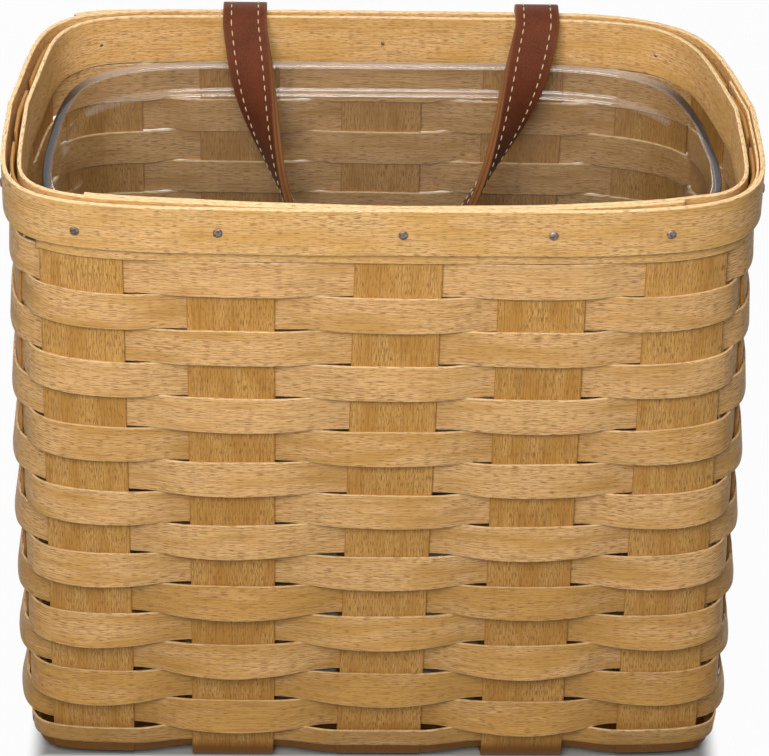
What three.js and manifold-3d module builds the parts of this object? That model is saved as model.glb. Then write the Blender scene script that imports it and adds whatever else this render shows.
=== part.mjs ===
// Wall pocket basket: splint stakes and weavers, a tacked double rim, a leather hanging strap
// and a clear liner that lifts out. Millimetres, +Z up, the front faces -Y, origin under the base.
import * as THREE from 'three';
import Module from 'manifold-3d';

// Overall size, taken over the outer rim band
const RIM_WIDTH = 254;
const RIM_DEPTH = 141;
const HEIGHT = 231;

// Splints: stakes run up and down, weavers run round
const STAKE_WIDTH = 29;
const STAKE_THICKNESS = 1;
const STAKE_TOP_DROP = 3;
const FRONT_STAKES = 5;
const SIDE_STAKES = 3;
const FRONT_STAKE_MARGIN = 9.9;
const SIDE_STAKE_MARGIN = 16.4;
const LONG_STAKE_SHIFTS = [-0.8, -0.6, 1.2, 2.6, 1.5];
const CENTRE_STAKE_LEAN = 4.1;
const WEAVER_THICKNESS = 0.9;
const ROWS = 16;
const ROW_GAP = 0.35;
const LAST_ROW_TO_BASE = 5.4;
const LAST_ROW_TRIM = 2.4;

// Rim: outer band, filler strip under it, inner band
const OUTER_BAND_HEIGHT = 17;
const OUTER_BAND_THICKNESS = 1.6;
const FILLER_THICKNESS = 0.9;
const FILLER_TOP_DROP = 1;
const FILLER_SHOWS = 4;
const INNER_BAND_HEIGHT = 18.5;
const INNER_BAND_THICKNESS = 1.4;
const OUTER_LAP_START = 77;
const OUTER_LAP_END = 110;
const INNER_LAP_START = -100;
const INNER_LAP_END = 98;
const LAP_STEP = 14;
const LAP_CLEARANCE = 2;

// Clearance between strips that lie against each other
const FIT = 0.3;

// Wall shape: rounder at the rim and narrower at its back, squarer at the base, slightly bellied between
const RIM_ROUNDNESS = { frontRight: 7, backRight: 5.6, backLeft: 7.5, frontLeft: 7 };
const BACK_NARROWING = { right: 12, left: 7.5 };
const BASE_ROUNDNESS = 10;
const FRONT_BOW = 1.3;
const FRONT_BELLY = 3.1;
const BACK_BELLY = 0.6;
const SIDE_BELLY = 0.8;
const BASE_BEND = 4;
const FLARE_TOP_ROW = 0.8;
const FLARE_LOW_ROW = 3;
const FLARE_AT_STAKE_EDGE = 0.35;
const LAST_ROW_FLARES = [2.2, 0.8, 0.4];

// Tacks
const TACK_HEAD_RADIUS = 1.6;
const TACK_HEAD_HEIGHT = 0.8;
const TACK_SHANK_RADIUS = 0.7;
const TACK_HOLE_CLEARANCE = 0.25;
const TACK_DROP = 10.2;
const FRONT_TACK_PLACES = [-100, -54, 6, 54.7, 92.3];
const TACK_TO_LAP_END = 10;

// Strap
const STRAP_WIDTH = 15.5;
const STRAP_THICKNESS = 3;
const STRAP_SPREAD = 52;
const STRAP_SHIFT = 4;
const STRAP_TAB_DROP = 34;
const STRAP_TACK_DROP = 12;
const STRAP_FOLD_RISE = 0.7;
const LOOP_DROP = 99;
const LOOP_TOP_RISE = 3.5;
const LEG_TOP_DROP = 1;
const LEG_GAP = 1.6;
const LOOP_FALL_POWER = 2;
const LOOP_WIDTH_POWER = 0.87;
const LOOP_SKEW = 5.2;
const LOOP_FORWARD = 19;
const LOOP_FORWARD_POWER = 5.2;
const TWIST_START = THREE.MathUtils.degToRad(10);
const TWIST_END = THREE.MathUtils.degToRad(62);

// Liner
const LINER_SIDE_GAP = 6.4;
const LINER_FRONT_GAP = 6;
const LINER_WALL = 1.2;
const LINER_LIP = 2.2;
const LINER_LIP_THICKNESS = 1.4;
const LINER_TOP_DROP = 14.5;
const LINER_COLLAR = 9.5;
const LINER_SHOULDER = 1.8;
const LINER_SHOULDER_HEIGHT = 2;
const LINER_DRAFT = 3;
const LINER_FLOOR_RADIUS = 5;
const LINER_ROUNDNESS = 5.2;

// Places worked out from the sizes above, outward from the middle of the stakes
const WEAVER_OFFSET = STAKE_THICKNESS / 2 + FIT + WEAVER_THICKNESS / 2;
const FILLER_OFFSET = STAKE_THICKNESS / 2 + FIT + FILLER_THICKNESS / 2;
const OUTER_BAND_OFFSET = FILLER_OFFSET + FILLER_THICKNESS / 2 + FIT + OUTER_BAND_THICKNESS / 2;
const INNER_BAND_OFFSET = -(STAKE_THICKNESS / 2 + FIT + INNER_BAND_THICKNESS / 2);
const RIM_INSET = OUTER_BAND_OFFSET + OUTER_BAND_THICKNESS / 2;
const INNER_LAP_OFFSET = INNER_BAND_OFFSET - INNER_BAND_THICKNESS - FIT;
const FILLER_BOTTOM_DROP = OUTER_BAND_HEIGHT + FILLER_SHOWS;
const FIRST_ROW_DROP = FILLER_BOTTOM_DROP + FIT;
const BEND_CENTRE_Z = STAKE_THICKNESS / 2 + BASE_BEND;
const STRAIGHT_DROP = HEIGHT - BEND_CENTRE_Z;
const BEND_DROP = STRAIGHT_DROP + (BASE_BEND * Math.PI) / 2;
const ROW_PITCH = (BEND_DROP - LAST_ROW_TO_BASE - FIRST_ROW_DROP) / ROWS;
const WEAVER_WIDTH = ROW_PITCH - ROW_GAP;
const LAST_ROW_WIDTH = WEAVER_WIDTH - LAST_ROW_TRIM;
const FRONT_PITCH = (RIM_WIDTH - 2 * (RIM_INSET + FRONT_STAKE_MARGIN) - STAKE_WIDTH) / (FRONT_STAKES - 1);
const SIDE_PITCH = (RIM_DEPTH - 2 * (RIM_INSET + SIDE_STAKE_MARGIN) - STAKE_WIDTH) / (SIDE_STAKES - 1);
const BASE_LOW_Z = STAKE_THICKNESS / 2;
const BASE_HIGH_Z = BASE_LOW_Z + STAKE_THICKNESS + FIT;
const LAST_ROW_BOTTOM_DROP = FIRST_ROW_DROP + (ROWS - 1) * ROW_PITCH + LAST_ROW_WIDTH;

// The four sides in the order the weavers run
const [FRONT, RIGHT, BACK, LEFT] = [0, 1, 2, 3];

const wasm = await Module();
wasm.setup();

const FINISH = {
  stake: { color: 0xbf914f, roughness: 0.55, metalness: 0 },
  weaver: { color: 0xcfa568, roughness: 0.5, metalness: 0 },
  rim: { color: 0xdeb473, roughness: 0.5, metalness: 0 },
  leather: { color: 0x704230, roughness: 0.6, metalness: 0 },
  tack: { color: 0x6e5a50, roughness: 0.45, metalness: 0.8 },
  liner: { color: 0xe8eef2, roughness: 0.1, metalness: 0 },
};

const group = new THREE.Group();

// Adds one sub-part to the group
function addPiece(name, geometry, finish) {
  const mesh = new THREE.Mesh(geometry, new THREE.MeshStandardMaterial(FINISH[finish]));
  mesh.name = name;
  group.add(mesh);
  return mesh;
}

// One level of the wall: a superellipse quarter at each corner, measured by length along the wall
class WallLevel {
  constructor(drop) {
    const fall = (drop - OUTER_BAND_HEIGHT) / (STRAIGHT_DROP - OUTER_BAND_HEIGHT);
    const share = THREE.MathUtils.clamp(fall, 0, 1);
    const belly = 4 * share * (1 - share);
    this.bend = Math.max(0, drop - STRAIGHT_DROP) / BASE_BEND;
    this.z = drop < STRAIGHT_DROP ? HEIGHT - drop : BEND_CENTRE_Z - BASE_BEND * Math.sin(this.bend);
    const inset = RIM_INSET + BASE_BEND * (1 - Math.cos(this.bend));
    const halfWidth = RIM_WIDTH / 2 + SIDE_BELLY * belly - inset;
    const front = RIM_DEPTH / 2 - FRONT_BOW + FRONT_BELLY * belly - inset;
    const back = RIM_DEPTH / 2 + BACK_BELLY * belly - inset;
    const depths = [front, back, back, front];
    const narrowings = [0, BACK_NARROWING.right, BACK_NARROWING.left, 0];
    this.quarters = Object.values(RIM_ROUNDNESS).map((roundness, i) => ({
      halfWidth,
      halfDepth: depths[i],
      power: THREE.MathUtils.lerp(roundness, BASE_ROUNDNESS, share),
      narrowing: narrowings[i] * (1 - share),
      bow: depths[i] === front ? FRONT_BOW : 0,
    }));
    this.flats = [];
    this.points = [];
    this.lengths = [];
    this.starts = [];
    this.quarters.forEach((quarter, i) => this.trace(quarter, i));
    this.perimeter = this.lengths.at(-1);
  }

  // Follows one quarter and adds up its length; the back is drawn in and the front bowed out
  trace({ halfWidth, halfDepth, power, narrowing, bow }, i) {
    const steps = 240;
    this.starts.push(this.lengths.at(-1) ?? 0);
    for (let j = 0; j <= steps; j++) {
      const angle = ((i - 1 + j / steps) * Math.PI) / 2;
      const x = signedPower(Math.cos(angle), 2 / power);
      const y = signedPower(Math.sin(angle), 2 / power);
      const drawnIn = halfWidth - narrowing * Math.abs(y);
      const point = new THREE.Vector2(drawnIn * x, halfDepth * y - bow * (1 - x * x));
      const last = this.points.at(-1);
      this.lengths.push(last ? this.lengths.at(-1) + point.distanceTo(last) : 0);
      this.flats.push(new THREE.Vector2(x, y));
      this.points.push(point);
    }
  }

  // Length along the wall from the front's middle, for a place counted from a side's middle
  place(side, along) {
    return this.starts[side] + along;
  }

  // Point at a place along the wall, moved outward by an offset
  at(place, offset) {
    const wrapped = ((place % this.perimeter) + this.perimeter) % this.perimeter;
    let i = this.lengths.findIndex((length) => length > wrapped);
    i = i < 1 ? 1 : i;
    const span = this.lengths[i] - this.lengths[i - 1];
    const share = (wrapped - this.lengths[i - 1]) / span;
    const point = this.points[i - 1].clone().lerp(this.points[i], share);
    const flat = this.flats[i - 1].clone().lerp(this.flats[i], share);
    const quarter = this.quarters[Math.min(3, Math.floor((i * 4) / this.points.length))];
    point.addScaledVector(wallOut(quarter, flat), offset * Math.cos(this.bend));
    return new THREE.Vector3(point.x, point.y, this.z - offset * Math.sin(this.bend));
  }
}

function signedPower(value, power) {
  return Math.sign(value) * Math.abs(value) ** power;
}

// Outward way of the wall at a point of the plain superellipse, turned as the back and the front are shaped
function wallOut({ halfWidth, halfDepth, power, narrowing, bow }, flat) {
  const slopeX = signedPower(flat.x, power - 1) / (halfWidth - narrowing * Math.abs(flat.y));
  const slopeY = signedPower(flat.y, power - 1);
  return new THREE.Vector2(
    slopeX - (slopeY / halfDepth) * ((2 * bow * flat.x) / halfWidth),
    (slopeY + narrowing * flat.x * slopeX) / halfDepth,
  ).normalize();
}

// Closed solid from rings of points carried along a path; every ring has the same even count
function sweep(rings, closed) {
  const count = rings[0].length;
  const index = [];
  const spans = closed ? rings.length : rings.length - 1;
  for (let i = 0; i < spans; i++) {
    const here = i * count;
    const next = ((i + 1) % rings.length) * count;
    for (let j = 0; j < count; j++) {
      const k = (j + 1) % count;
      index.push(here + j, here + k, next + k, here + j, next + k, next + j);
    }
  }
  if (!closed) {
    const end = (rings.length - 1) * count;
    for (let j = 0; j < count / 2 - 1; j++) {
      const mirror = count - 1 - j;
      index.push(j, mirror, j + 1, j + 1, mirror, mirror - 1);
      index.push(end + j, end + j + 1, end + mirror, end + j + 1, end + mirror - 1, end + mirror);
    }
  }
  return faceOut(rings.flat(), index);
}

// Geometry from points and triangles, turned so that its faces point out
function faceOut(points, index) {
  let volume = 0;
  for (let i = 0; i < index.length; i += 3) {
    const [a, b, c] = [points[index[i]], points[index[i + 1]], points[index[i + 2]]];
    volume += a.dot(b.clone().cross(c));
  }
  const geometry = new THREE.BufferGeometry().setFromPoints(points);
  geometry.setIndex(volume < 0 ? index.reverse() : index);
  return geometry;
}

// Cuts a list of tools out of a geometry, keeping each pair of triangles as a face of its own
function cut(geometry, tools) {
  const solids = [geometry, ...tools].map((item) => new wasm.Manifold(new wasm.Mesh({
    numProp: 3,
    vertProperties: new Float32Array(item.attributes.position.array),
    triVerts: new Uint32Array(item.index.array),
    faceID: Uint32Array.from({ length: item.index.count / 3 }, (_, i) => Math.floor(i / 2)),
  })));
  const left = solids.reduce((body, tool) => body.subtract(tool)).getMesh();
  const result = new THREE.BufferGeometry();
  result.setAttribute('position', new THREE.BufferAttribute(left.vertProperties, left.numProp));
  result.setIndex(new THREE.BufferAttribute(left.triVerts, 1));
  return result;
}

// Middle of a front or back stake, counted along the wall from the middle of its side
function longStakeAlong(side, number, drop) {
  const middle = (FRONT_STAKES - 1) / 2;
  const lean = CENTRE_STAKE_LEAN * Math.max(0, 1 - drop / STRAIGHT_DROP);
  const x = (number - middle) * FRONT_PITCH + LONG_STAKE_SHIFTS[number];
  if (side === BACK) {
    return -x;
  }
  return number === middle ? x + lean : x;
}

// Middle of a side stake, counted the same way
function crossStakeAlong(side, number) {
  const y = (number - (SIDE_STAKES - 1) / 2) * SIDE_PITCH;
  return side === RIGHT ? y : -y;
}

// Every stake that a weaver meets on its way round, in order
const AROUND = [
  ...Array.from({ length: FRONT_STAKES }, (_, i) => ({ side: FRONT, number: i })),
  ...Array.from({ length: SIDE_STAKES }, (_, i) => ({ side: RIGHT, number: i })),
  ...Array.from({ length: FRONT_STAKES }, (_, i) => ({ side: BACK, number: FRONT_STAKES - 1 - i })),
  ...Array.from({ length: SIDE_STAKES }, (_, i) => ({ side: LEFT, number: SIDE_STAKES - 1 - i })),
];

function stakeAlong({ side, number }, drop) {
  return side === FRONT || side === BACK ? longStakeAlong(side, number, drop) : crossStakeAlong(side, number);
}

// Places round the wall at one level: three on each stake, and a few round each corner
function wallStations(level, drop) {
  const cornerStations = 3;
  const stations = [];
  AROUND.forEach((stake, i) => {
    const middle = level.place(stake.side, stakeAlong(stake, drop));
    for (const share of [-1, 0, 1]) {
      stations.push({ stake: i, share, place: middle + (share * STAKE_WIDTH) / 2 });
    }
    const next = AROUND[(i + 1) % AROUND.length];
    if (next.side !== stake.side) {
      const lap = next.side === FRONT ? level.perimeter : 0;
      const from = stations.at(-1).place;
      const to = level.place(next.side, stakeAlong(next, drop)) - STAKE_WIDTH / 2 + lap;
      for (let j = 1; j <= cornerStations; j++) {
        const round = j / (cornerStations + 1);
        stations.push({ stake: i, share: 1, round, place: THREE.MathUtils.lerp(from, to, round) });
      }
    }
  });
  return stations;
}

// One edge of a weaver: outside every second stake, inside the others, crossing over between them
function weaverEdge(row, drop, flare, flareAtEdge) {
  const level = new WallLevel(drop);
  const offsetOn = (stake, share) => {
    const bulge = flare * (share === 0 ? 1 : flareAtEdge);
    return (stake + row) % 2 === 1 ? WEAVER_OFFSET + bulge : -WEAVER_OFFSET;
  };
  return wallStations(level, drop).map(({ stake, share, round, place }) => {
    const offset = THREE.MathUtils.lerp(offsetOn(stake, share), offsetOn(stake + 1, share), round ?? 0);
    return {
      outer: level.at(place, offset + WEAVER_THICKNESS / 2),
      inner: level.at(place, offset - WEAVER_THICKNESS / 2),
    };
  });
}

// One weaver row, over one stake and under the next
function weaver(row) {
  const topDrop = FIRST_ROW_DROP + row * ROW_PITCH + ROW_GAP / 2;
  const lowFlare = THREE.MathUtils.lerp(FLARE_TOP_ROW, FLARE_LOW_ROW, row / (ROWS - 2));
  const edges = row < ROWS - 1
    ? [weaverEdge(row, topDrop, 0, 1), weaverEdge(row, topDrop + WEAVER_WIDTH, lowFlare, FLARE_AT_STAKE_EDGE)]
    : LAST_ROW_FLARES.map((flare, i) => weaverEdge(row, topDrop + (LAST_ROW_WIDTH * i) / 2, flare, 1));
  return sweep(edges[0].map((_, i) => [
    ...edges.map((edge) => edge[i].outer),
    ...edges.map((edge) => edge[i].inner).reverse(),
  ]), true);
}

// Cross-section of a stake on the wall: three points outside and three inside
function stakeRing(side, drop, along, lift) {
  const level = new WallLevel(drop);
  level.z += lift * THREE.MathUtils.smoothstep(drop, LAST_ROW_BOTTOM_DROP, BEND_DROP);
  const places = [-1, 0, 1].map((share) => level.place(side, along + (share * STAKE_WIDTH) / 2));
  const outer = places.map((place) => level.at(place, STAKE_THICKNESS / 2));
  const inner = places.map((place) => level.at(place, -STAKE_THICKNESS / 2));
  return [...outer, ...inner.reverse()];
}

// Cross-section of a stake on the base, running across X or Y
function baseRing(axis, run, across, z) {
  const widths = [-1, 0, 1].map((share) => across + (share * STAKE_WIDTH) / 2);
  const point = (width, height) => (axis === 'y'
    ? new THREE.Vector3(width, run, height)
    : new THREE.Vector3(run, width, height));
  const low = widths.map((width) => point(width, z - STAKE_THICKNESS / 2));
  const high = widths.map((width) => point(width, z + STAKE_THICKNESS / 2));
  return [...low, ...high.reverse()];
}

// Levels where a stake's cross-section is taken, from its top end round the base bend
function stakeDrops() {
  const wallSteps = 7;
  const bendSteps = 5;
  const drops = [STAKE_TOP_DROP];
  for (let i = 0; i <= wallSteps; i++) {
    drops.push(THREE.MathUtils.lerp(OUTER_BAND_HEIGHT, STRAIGHT_DROP, (i / wallSteps) ** 1.4));
  }
  for (let i = 1; i <= bendSteps; i++) {
    drops.push(THREE.MathUtils.lerp(STRAIGHT_DROP, BEND_DROP, i / bendSteps));
  }
  return drops;
}

// A stake that runs down one wall, across the base and up the other wall
function stake({ axis, startSide, endSide, number, along, crossings, crossPitch }) {
  const isLow = (crossing) => (crossing + number) % 2 === (axis === 'y' ? 1 : 0);
  const wall = (side, crossing) => {
    const lift = isLow(crossing) ? 0 : BASE_HIGH_Z - BASE_LOW_Z;
    return stakeDrops().map((drop) => stakeRing(side, drop, along(side, drop), lift));
  };
  const down = wall(startSide, 0);
  const up = wall(endSide, crossings - 1).reverse();
  const across = along(startSide, STRAIGHT_DROP) * (startSide === FRONT ? 1 : -1);
  const base = [];
  for (let i = 0; i < crossings; i++) {
    const middle = (i - (crossings - 1) / 2) * crossPitch + crossStakeShift(axis, i);
    for (const share of [-1, 1]) {
      const run = middle + share * (STAKE_WIDTH / 2 + FIT);
      base.push(baseRing(axis, run, across, isLow(i) ? BASE_LOW_Z : BASE_HIGH_Z));
    }
  }
  const width = (ring) => (axis === 'y' ? ring[2].x - ring[0].x : ring[2].y - ring[0].y);
  const aligned = (ring) => (width(ring) > 0 ? ring : [ring[2], ring[1], ring[0], ring[5], ring[4], ring[3]]);
  return sweep([...down, ...base, ...up].map(aligned), false);
}

// The long stakes sit a little off their even places, which the stakes crossing them allow for
function crossStakeShift(axis, number) {
  return axis === 'x' ? LONG_STAKE_SHIFTS[number] : 0;
}

// A flat strip standing on edge round the rim, between two places, with its own offset along it
function rimStrip({ from, to, topDrop, bottomDrop, thickness, offsetAt, joints }) {
  const top = new WallLevel(topDrop);
  const bottom = new WallLevel(bottomDrop);
  const start = top.place(from.side, from.along);
  const end = top.place(to.side, to.along) + (to.turns ?? 0) * top.perimeter;
  const length = end - start;
  const stations = wallStations(top, topDrop).map(({ place }) => place);
  const laps = [-1, 0, 1, 2].flatMap((turn) => stations.map((place) => place + turn * top.perimeter));
  const runs = [...laps.map((place) => place - start), ...joints(length)]
    .filter((run) => run > 1 && run < length - 1)
    .concat(0, length)
    .sort((a, b) => a - b);
  return sweep(runs.map((run) => {
    const offset = offsetAt(run, length);
    const low = ((start + run) / top.perimeter) * bottom.perimeter;
    return [
      top.at(start + run, offset + thickness / 2),
      bottom.at(low, offset + thickness / 2),
      bottom.at(low, offset - thickness / 2),
      top.at(start + run, offset - thickness / 2),
    ];
  }), false);
}

// A band that laps over itself at one of its ends: it steps aside over a short length beside the lap
function lappedBand(base, sideways, lapLength, lapsAtStart) {
  const stepFrom = lapLength + LAP_CLEARANCE;
  return {
    joints: (length) => [lapLength, stepFrom, stepFrom + LAP_STEP]
      .map((run) => (lapsAtStart ? run : length - run)),
    offsetAt: (run, length) => {
      const fromLapEnd = lapsAtStart ? run : length - run;
      return base + sideways * THREE.MathUtils.clamp(1 - (fromLapEnd - stepFrom) / LAP_STEP, 0, 1);
    },
  };
}

// Tack: a turned head on a short shank, pointing along its own axis
function tackGeometry(shankLength) {
  const profile = [
    [0, -shankLength],
    [TACK_SHANK_RADIUS, -shankLength],
    [TACK_SHANK_RADIUS, 0],
    [TACK_HEAD_RADIUS, 0],
    [TACK_HEAD_RADIUS * 0.7, TACK_HEAD_HEIGHT],
    [0, TACK_HEAD_HEIGHT],
  ].map(([x, y]) => new THREE.Vector2(x, y));
  return new THREE.LatheGeometry(profile, 6);
}

// Hole for a tack, as a closed prism through a wall
function tackHole(point, out, depth) {
  const sides = 8;
  const radius = TACK_SHANK_RADIUS + TACK_HOLE_CLEARANCE;
  const turn = new THREE.Quaternion().setFromUnitVectors(new THREE.Vector3(0, 0, 1), out);
  const rings = [-1, 1].map((end) => Array.from({ length: sides }, (_, i) => {
    const angle = (2 * Math.PI * i) / sides;
    const local = new THREE.Vector3(Math.cos(angle) * radius, Math.sin(angle) * radius, end * depth);
    return local.applyQuaternion(turn).add(point);
  }));
  return sweep(rings, false);
}

function addTack(name, seat, out, shankLength) {
  const tack = addPiece(name, tackGeometry(shankLength), 'tack');
  tack.position.copy(seat);
  tack.quaternion.setFromUnitVectors(new THREE.Vector3(0, 1, 0), out);
}

// Place of a band tack: set down by hand along the front, near the lap's end, and else on a stake
function tackAlong(tack, lapped) {
  if (lapped) {
    return OUTER_LAP_END - TACK_TO_LAP_END;
  }
  return tack.side === FRONT ? FRONT_TACK_PLACES[tack.number] : stakeAlong(tack, TACK_DROP);
}

// Where a tack goes through the outer band; lapped ones go through both layers of it
function bandTackSeat(side, along, layers) {
  const level = new WallLevel(TACK_DROP);
  const place = level.place(side, along);
  const depth = layers * OUTER_BAND_THICKNESS + (layers - 1) * FIT;
  const face = level.at(place, RIM_INSET - OUTER_BAND_THICKNESS + depth);
  const out = face.clone().sub(level.at(place, 0)).normalize();
  return { face, out, depth };
}

// Strap: its tab lies on the back of the rim, and its loop hangs inside
const rimLevel = new WallLevel(0);
const backFace = rimLevel.at(rimLevel.place(BACK, 0), RIM_INSET).y;
const strapEdge = rimLevel.place(BACK, -STRAP_SHIFT - STRAP_SPREAD - STRAP_WIDTH / 2);
const rimInnerFace = rimLevel.at(strapEdge, INNER_BAND_OFFSET - INNER_BAND_THICKNESS / 2).y;
const TAB_Y = backFace + FIT + STRAP_THICKNESS / 2;
const LEG_Y = rimInnerFace - LEG_GAP - STRAP_THICKNESS / 2;
const FOLD_Y = (TAB_Y + LEG_Y) / 2;
const FOLD_Z = HEIGHT + FIT + STRAP_THICKNESS / 2 + STRAP_FOLD_RISE;

// Ring of a strap: its middle, the way it runs, and the way its width points
function strapRing(middle, run, widthWay) {
  const width = widthWay.clone().addScaledVector(run, -widthWay.dot(run)).normalize();
  const normal = run.clone().cross(width);
  return [[1, 1], [1, -1], [-1, -1], [-1, 1]].map(([w, n]) => middle.clone()
    .addScaledVector(width, (w * STRAP_WIDTH) / 2)
    .addScaledVector(normal, (n * STRAP_THICKNESS) / 2));
}

// Sweeps a strap through middles, with a width direction for each
function strapSweep(middles, widthWays) {
  return sweep(middles.map((middle, i) => {
    const before = middles[Math.max(0, i - 1)];
    const after = middles[Math.min(middles.length - 1, i + 1)];
    return strapRing(middle, after.clone().sub(before).normalize(), widthWays[i]);
  }), false);
}

function strapTab(x) {
  const bottomZ = HEIGHT - STRAP_TAB_DROP;
  const corner = new THREE.Vector2(TAB_Y - STRAP_THICKNESS / 4, FOLD_Z - STRAP_THICKNESS / 4);
  const middles = [
    [TAB_Y, bottomZ],
    [TAB_Y, HEIGHT - STRAP_TACK_DROP - STRAP_WIDTH / 2],
    [TAB_Y, HEIGHT - STRAP_THICKNESS / 2],
    [corner.x, corner.y],
    [TAB_Y - STRAP_THICKNESS, FOLD_Z],
    [FOLD_Y + FIT / 2, FOLD_Z],
  ].map(([y, z]) => new THREE.Vector3(x, y, z));
  return strapSweep(middles, middles.map(() => new THREE.Vector3(1, 0, 0)));
}

function strapLoop() {
  const steps = 28;
  const topZ = HEIGHT + LOOP_TOP_RISE;
  const legTopZ = HEIGHT - LEG_TOP_DROP;
  const startAngle = Math.asin(((topZ - legTopZ) / LOOP_DROP) ** (1 / LOOP_FALL_POWER));
  const lowZ = topZ - LOOP_DROP;
  const middles = [];
  const widthWays = [];
  for (let i = 0; i <= steps; i++) {
    const angle = THREE.MathUtils.lerp(startAngle, Math.PI - startAngle, i / steps);
    const z = topZ - LOOP_DROP * Math.sin(angle) ** LOOP_FALL_POWER;
    const upness = Math.max(0, (z - lowZ) / (legTopZ - lowZ));
    const y = LEG_Y - LOOP_FORWARD * (1 - upness ** LOOP_FORWARD_POWER);
    const x = STRAP_SHIFT - STRAP_SPREAD * signedPower(Math.cos(angle), LOOP_WIDTH_POWER);
    middles.push(new THREE.Vector3(x - LOOP_SKEW * (1 - upness), y, z));
    const fromTop = Math.min(angle, Math.PI - angle);
    const twist = (Math.PI / 2) * THREE.MathUtils.smoothstep(fromTop, TWIST_START, TWIST_END);
    const side = angle < Math.PI / 2 ? 1 : -1;
    widthWays.push(new THREE.Vector3(side * Math.cos(twist), -Math.sin(twist), 0));
  }
  const foldEnd = (x) => [
    [FOLD_Y - FIT / 2, FOLD_Z],
    [LEG_Y + STRAP_THICKNESS, FOLD_Z],
    [LEG_Y + STRAP_THICKNESS / 3, FOLD_Z - STRAP_THICKNESS / 3],
  ].map(([y, z]) => new THREE.Vector3(x, y, z));
  const left = foldEnd(STRAP_SHIFT - STRAP_SPREAD);
  const right = foldEnd(STRAP_SHIFT + STRAP_SPREAD).reverse();
  const leftWays = left.map(() => new THREE.Vector3(1, 0, 0));
  const rightWays = right.map(() => new THREE.Vector3(-1, 0, 0));
  return strapSweep([...left, ...middles, ...right], [...leftWays, ...widthWays, ...rightWays]);
}

// Liner: a thin drafted tub with a collar, a shoulder and a turned-out lip
function liner() {
  const sideFace = RIM_WIDTH / 2 - RIM_INSET + INNER_BAND_OFFSET - INNER_BAND_THICKNESS / 2;
  const backInside = RIM_DEPTH / 2 - RIM_INSET + INNER_BAND_OFFSET - INNER_BAND_THICKNESS / 2;
  const frontInside = RIM_DEPTH / 2 - FRONT_BOW - RIM_INSET + INNER_LAP_OFFSET - INNER_BAND_THICKNESS / 2;
  const halfWidth = sideFace - LINER_SIDE_GAP;
  const halfDepth = (backInside + frontInside) / 2 - LINER_FRONT_GAP;
  const middleY = (backInside - frontInside) / 2;
  const topZ = HEIGHT - LINER_TOP_DROP;
  const floorZ = BASE_HIGH_Z + STAKE_THICKNESS / 2 + FIT;
  const collarZ = topZ - LINER_COLLAR;
  const shoulderZ = collarZ - LINER_SHOULDER_HEIGHT;
  const bodyInset = LINER_LIP + LINER_SHOULDER;
  const outside = [
    [bodyInset + LINER_DRAFT + LINER_FLOOR_RADIUS, floorZ],
    [bodyInset + LINER_DRAFT, floorZ + LINER_FLOOR_RADIUS],
    [bodyInset, shoulderZ],
    [LINER_LIP, collarZ],
    [LINER_LIP, topZ - LINER_LIP_THICKNESS],
    [0, topZ - LINER_LIP_THICKNESS],
    [0, topZ],
  ];
  const inside = [
    [LINER_LIP + LINER_WALL, topZ],
    [LINER_LIP + LINER_WALL, collarZ],
    [bodyInset + LINER_WALL, shoulderZ],
    [bodyInset + LINER_DRAFT + LINER_WALL, floorZ + LINER_FLOOR_RADIUS],
    [bodyInset + LINER_DRAFT + LINER_FLOOR_RADIUS, floorZ + LINER_WALL],
  ];
  const points = 36;
  return sweep([...outside, ...inside].map(([inset, z]) => Array.from({ length: points }, (_, i) => {
    const angle = (2 * Math.PI * (i + 0.5)) / points;
    const x = signedPower(Math.cos(angle), 2 / LINER_ROUNDNESS);
    const y = signedPower(Math.sin(angle), 2 / LINER_ROUNDNESS);
    const narrowing = Math.max(0, y) * (x > 0 ? BACK_NARROWING.right : BACK_NARROWING.left);
    return new THREE.Vector3((halfWidth - inset - narrowing) * x, middleY + (halfDepth - inset) * y, z);
  })), false);
}

// Stakes
for (let i = 0; i < FRONT_STAKES; i++) {
  addPiece(`long_stake_${i + 1}`, stake({
    axis: 'y',
    startSide: FRONT,
    endSide: BACK,
    number: i,
    along: (side, drop) => longStakeAlong(side, i, drop),
    crossings: SIDE_STAKES,
    crossPitch: SIDE_PITCH,
  }), 'stake');
}
for (let i = 0; i < SIDE_STAKES; i++) {
  addPiece(`cross_stake_${i + 1}`, stake({
    axis: 'x',
    startSide: LEFT,
    endSide: RIGHT,
    number: i,
    along: (side) => crossStakeAlong(side, i),
    crossings: FRONT_STAKES,
    crossPitch: FRONT_PITCH,
  }), 'stake');
}

// Weavers, counted from the rim down
for (let row = 0; row < ROWS; row++) {
  addPiece(`weaver_row_${String(row + 1).padStart(2, '0')}`, weaver(row), 'weaver');
}

// Rim strips, with the tack holes cut through the outer band
const bandTacks = [
  ...FRONT_TACK_PLACES.map((_, i) => ({ name: `tack_front_${i + 1}`, side: FRONT, number: i })),
  ...[0, 2, 4].map((i) => ({ name: `tack_back_${i + 1}`, side: BACK, number: i })),
  ...[0, 2].map((i) => ({ name: `tack_left_${i + 1}`, side: LEFT, number: i })),
  ...[0, 2].map((i) => ({ name: `tack_right_${i + 1}`, side: RIGHT, number: i })),
].map((tack) => {
  const lapped = tack.side === BACK && tack.number === 0;
  return { name: tack.name, ...bandTackSeat(tack.side, tackAlong(tack, lapped), lapped ? 2 : 1) };
});

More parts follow.
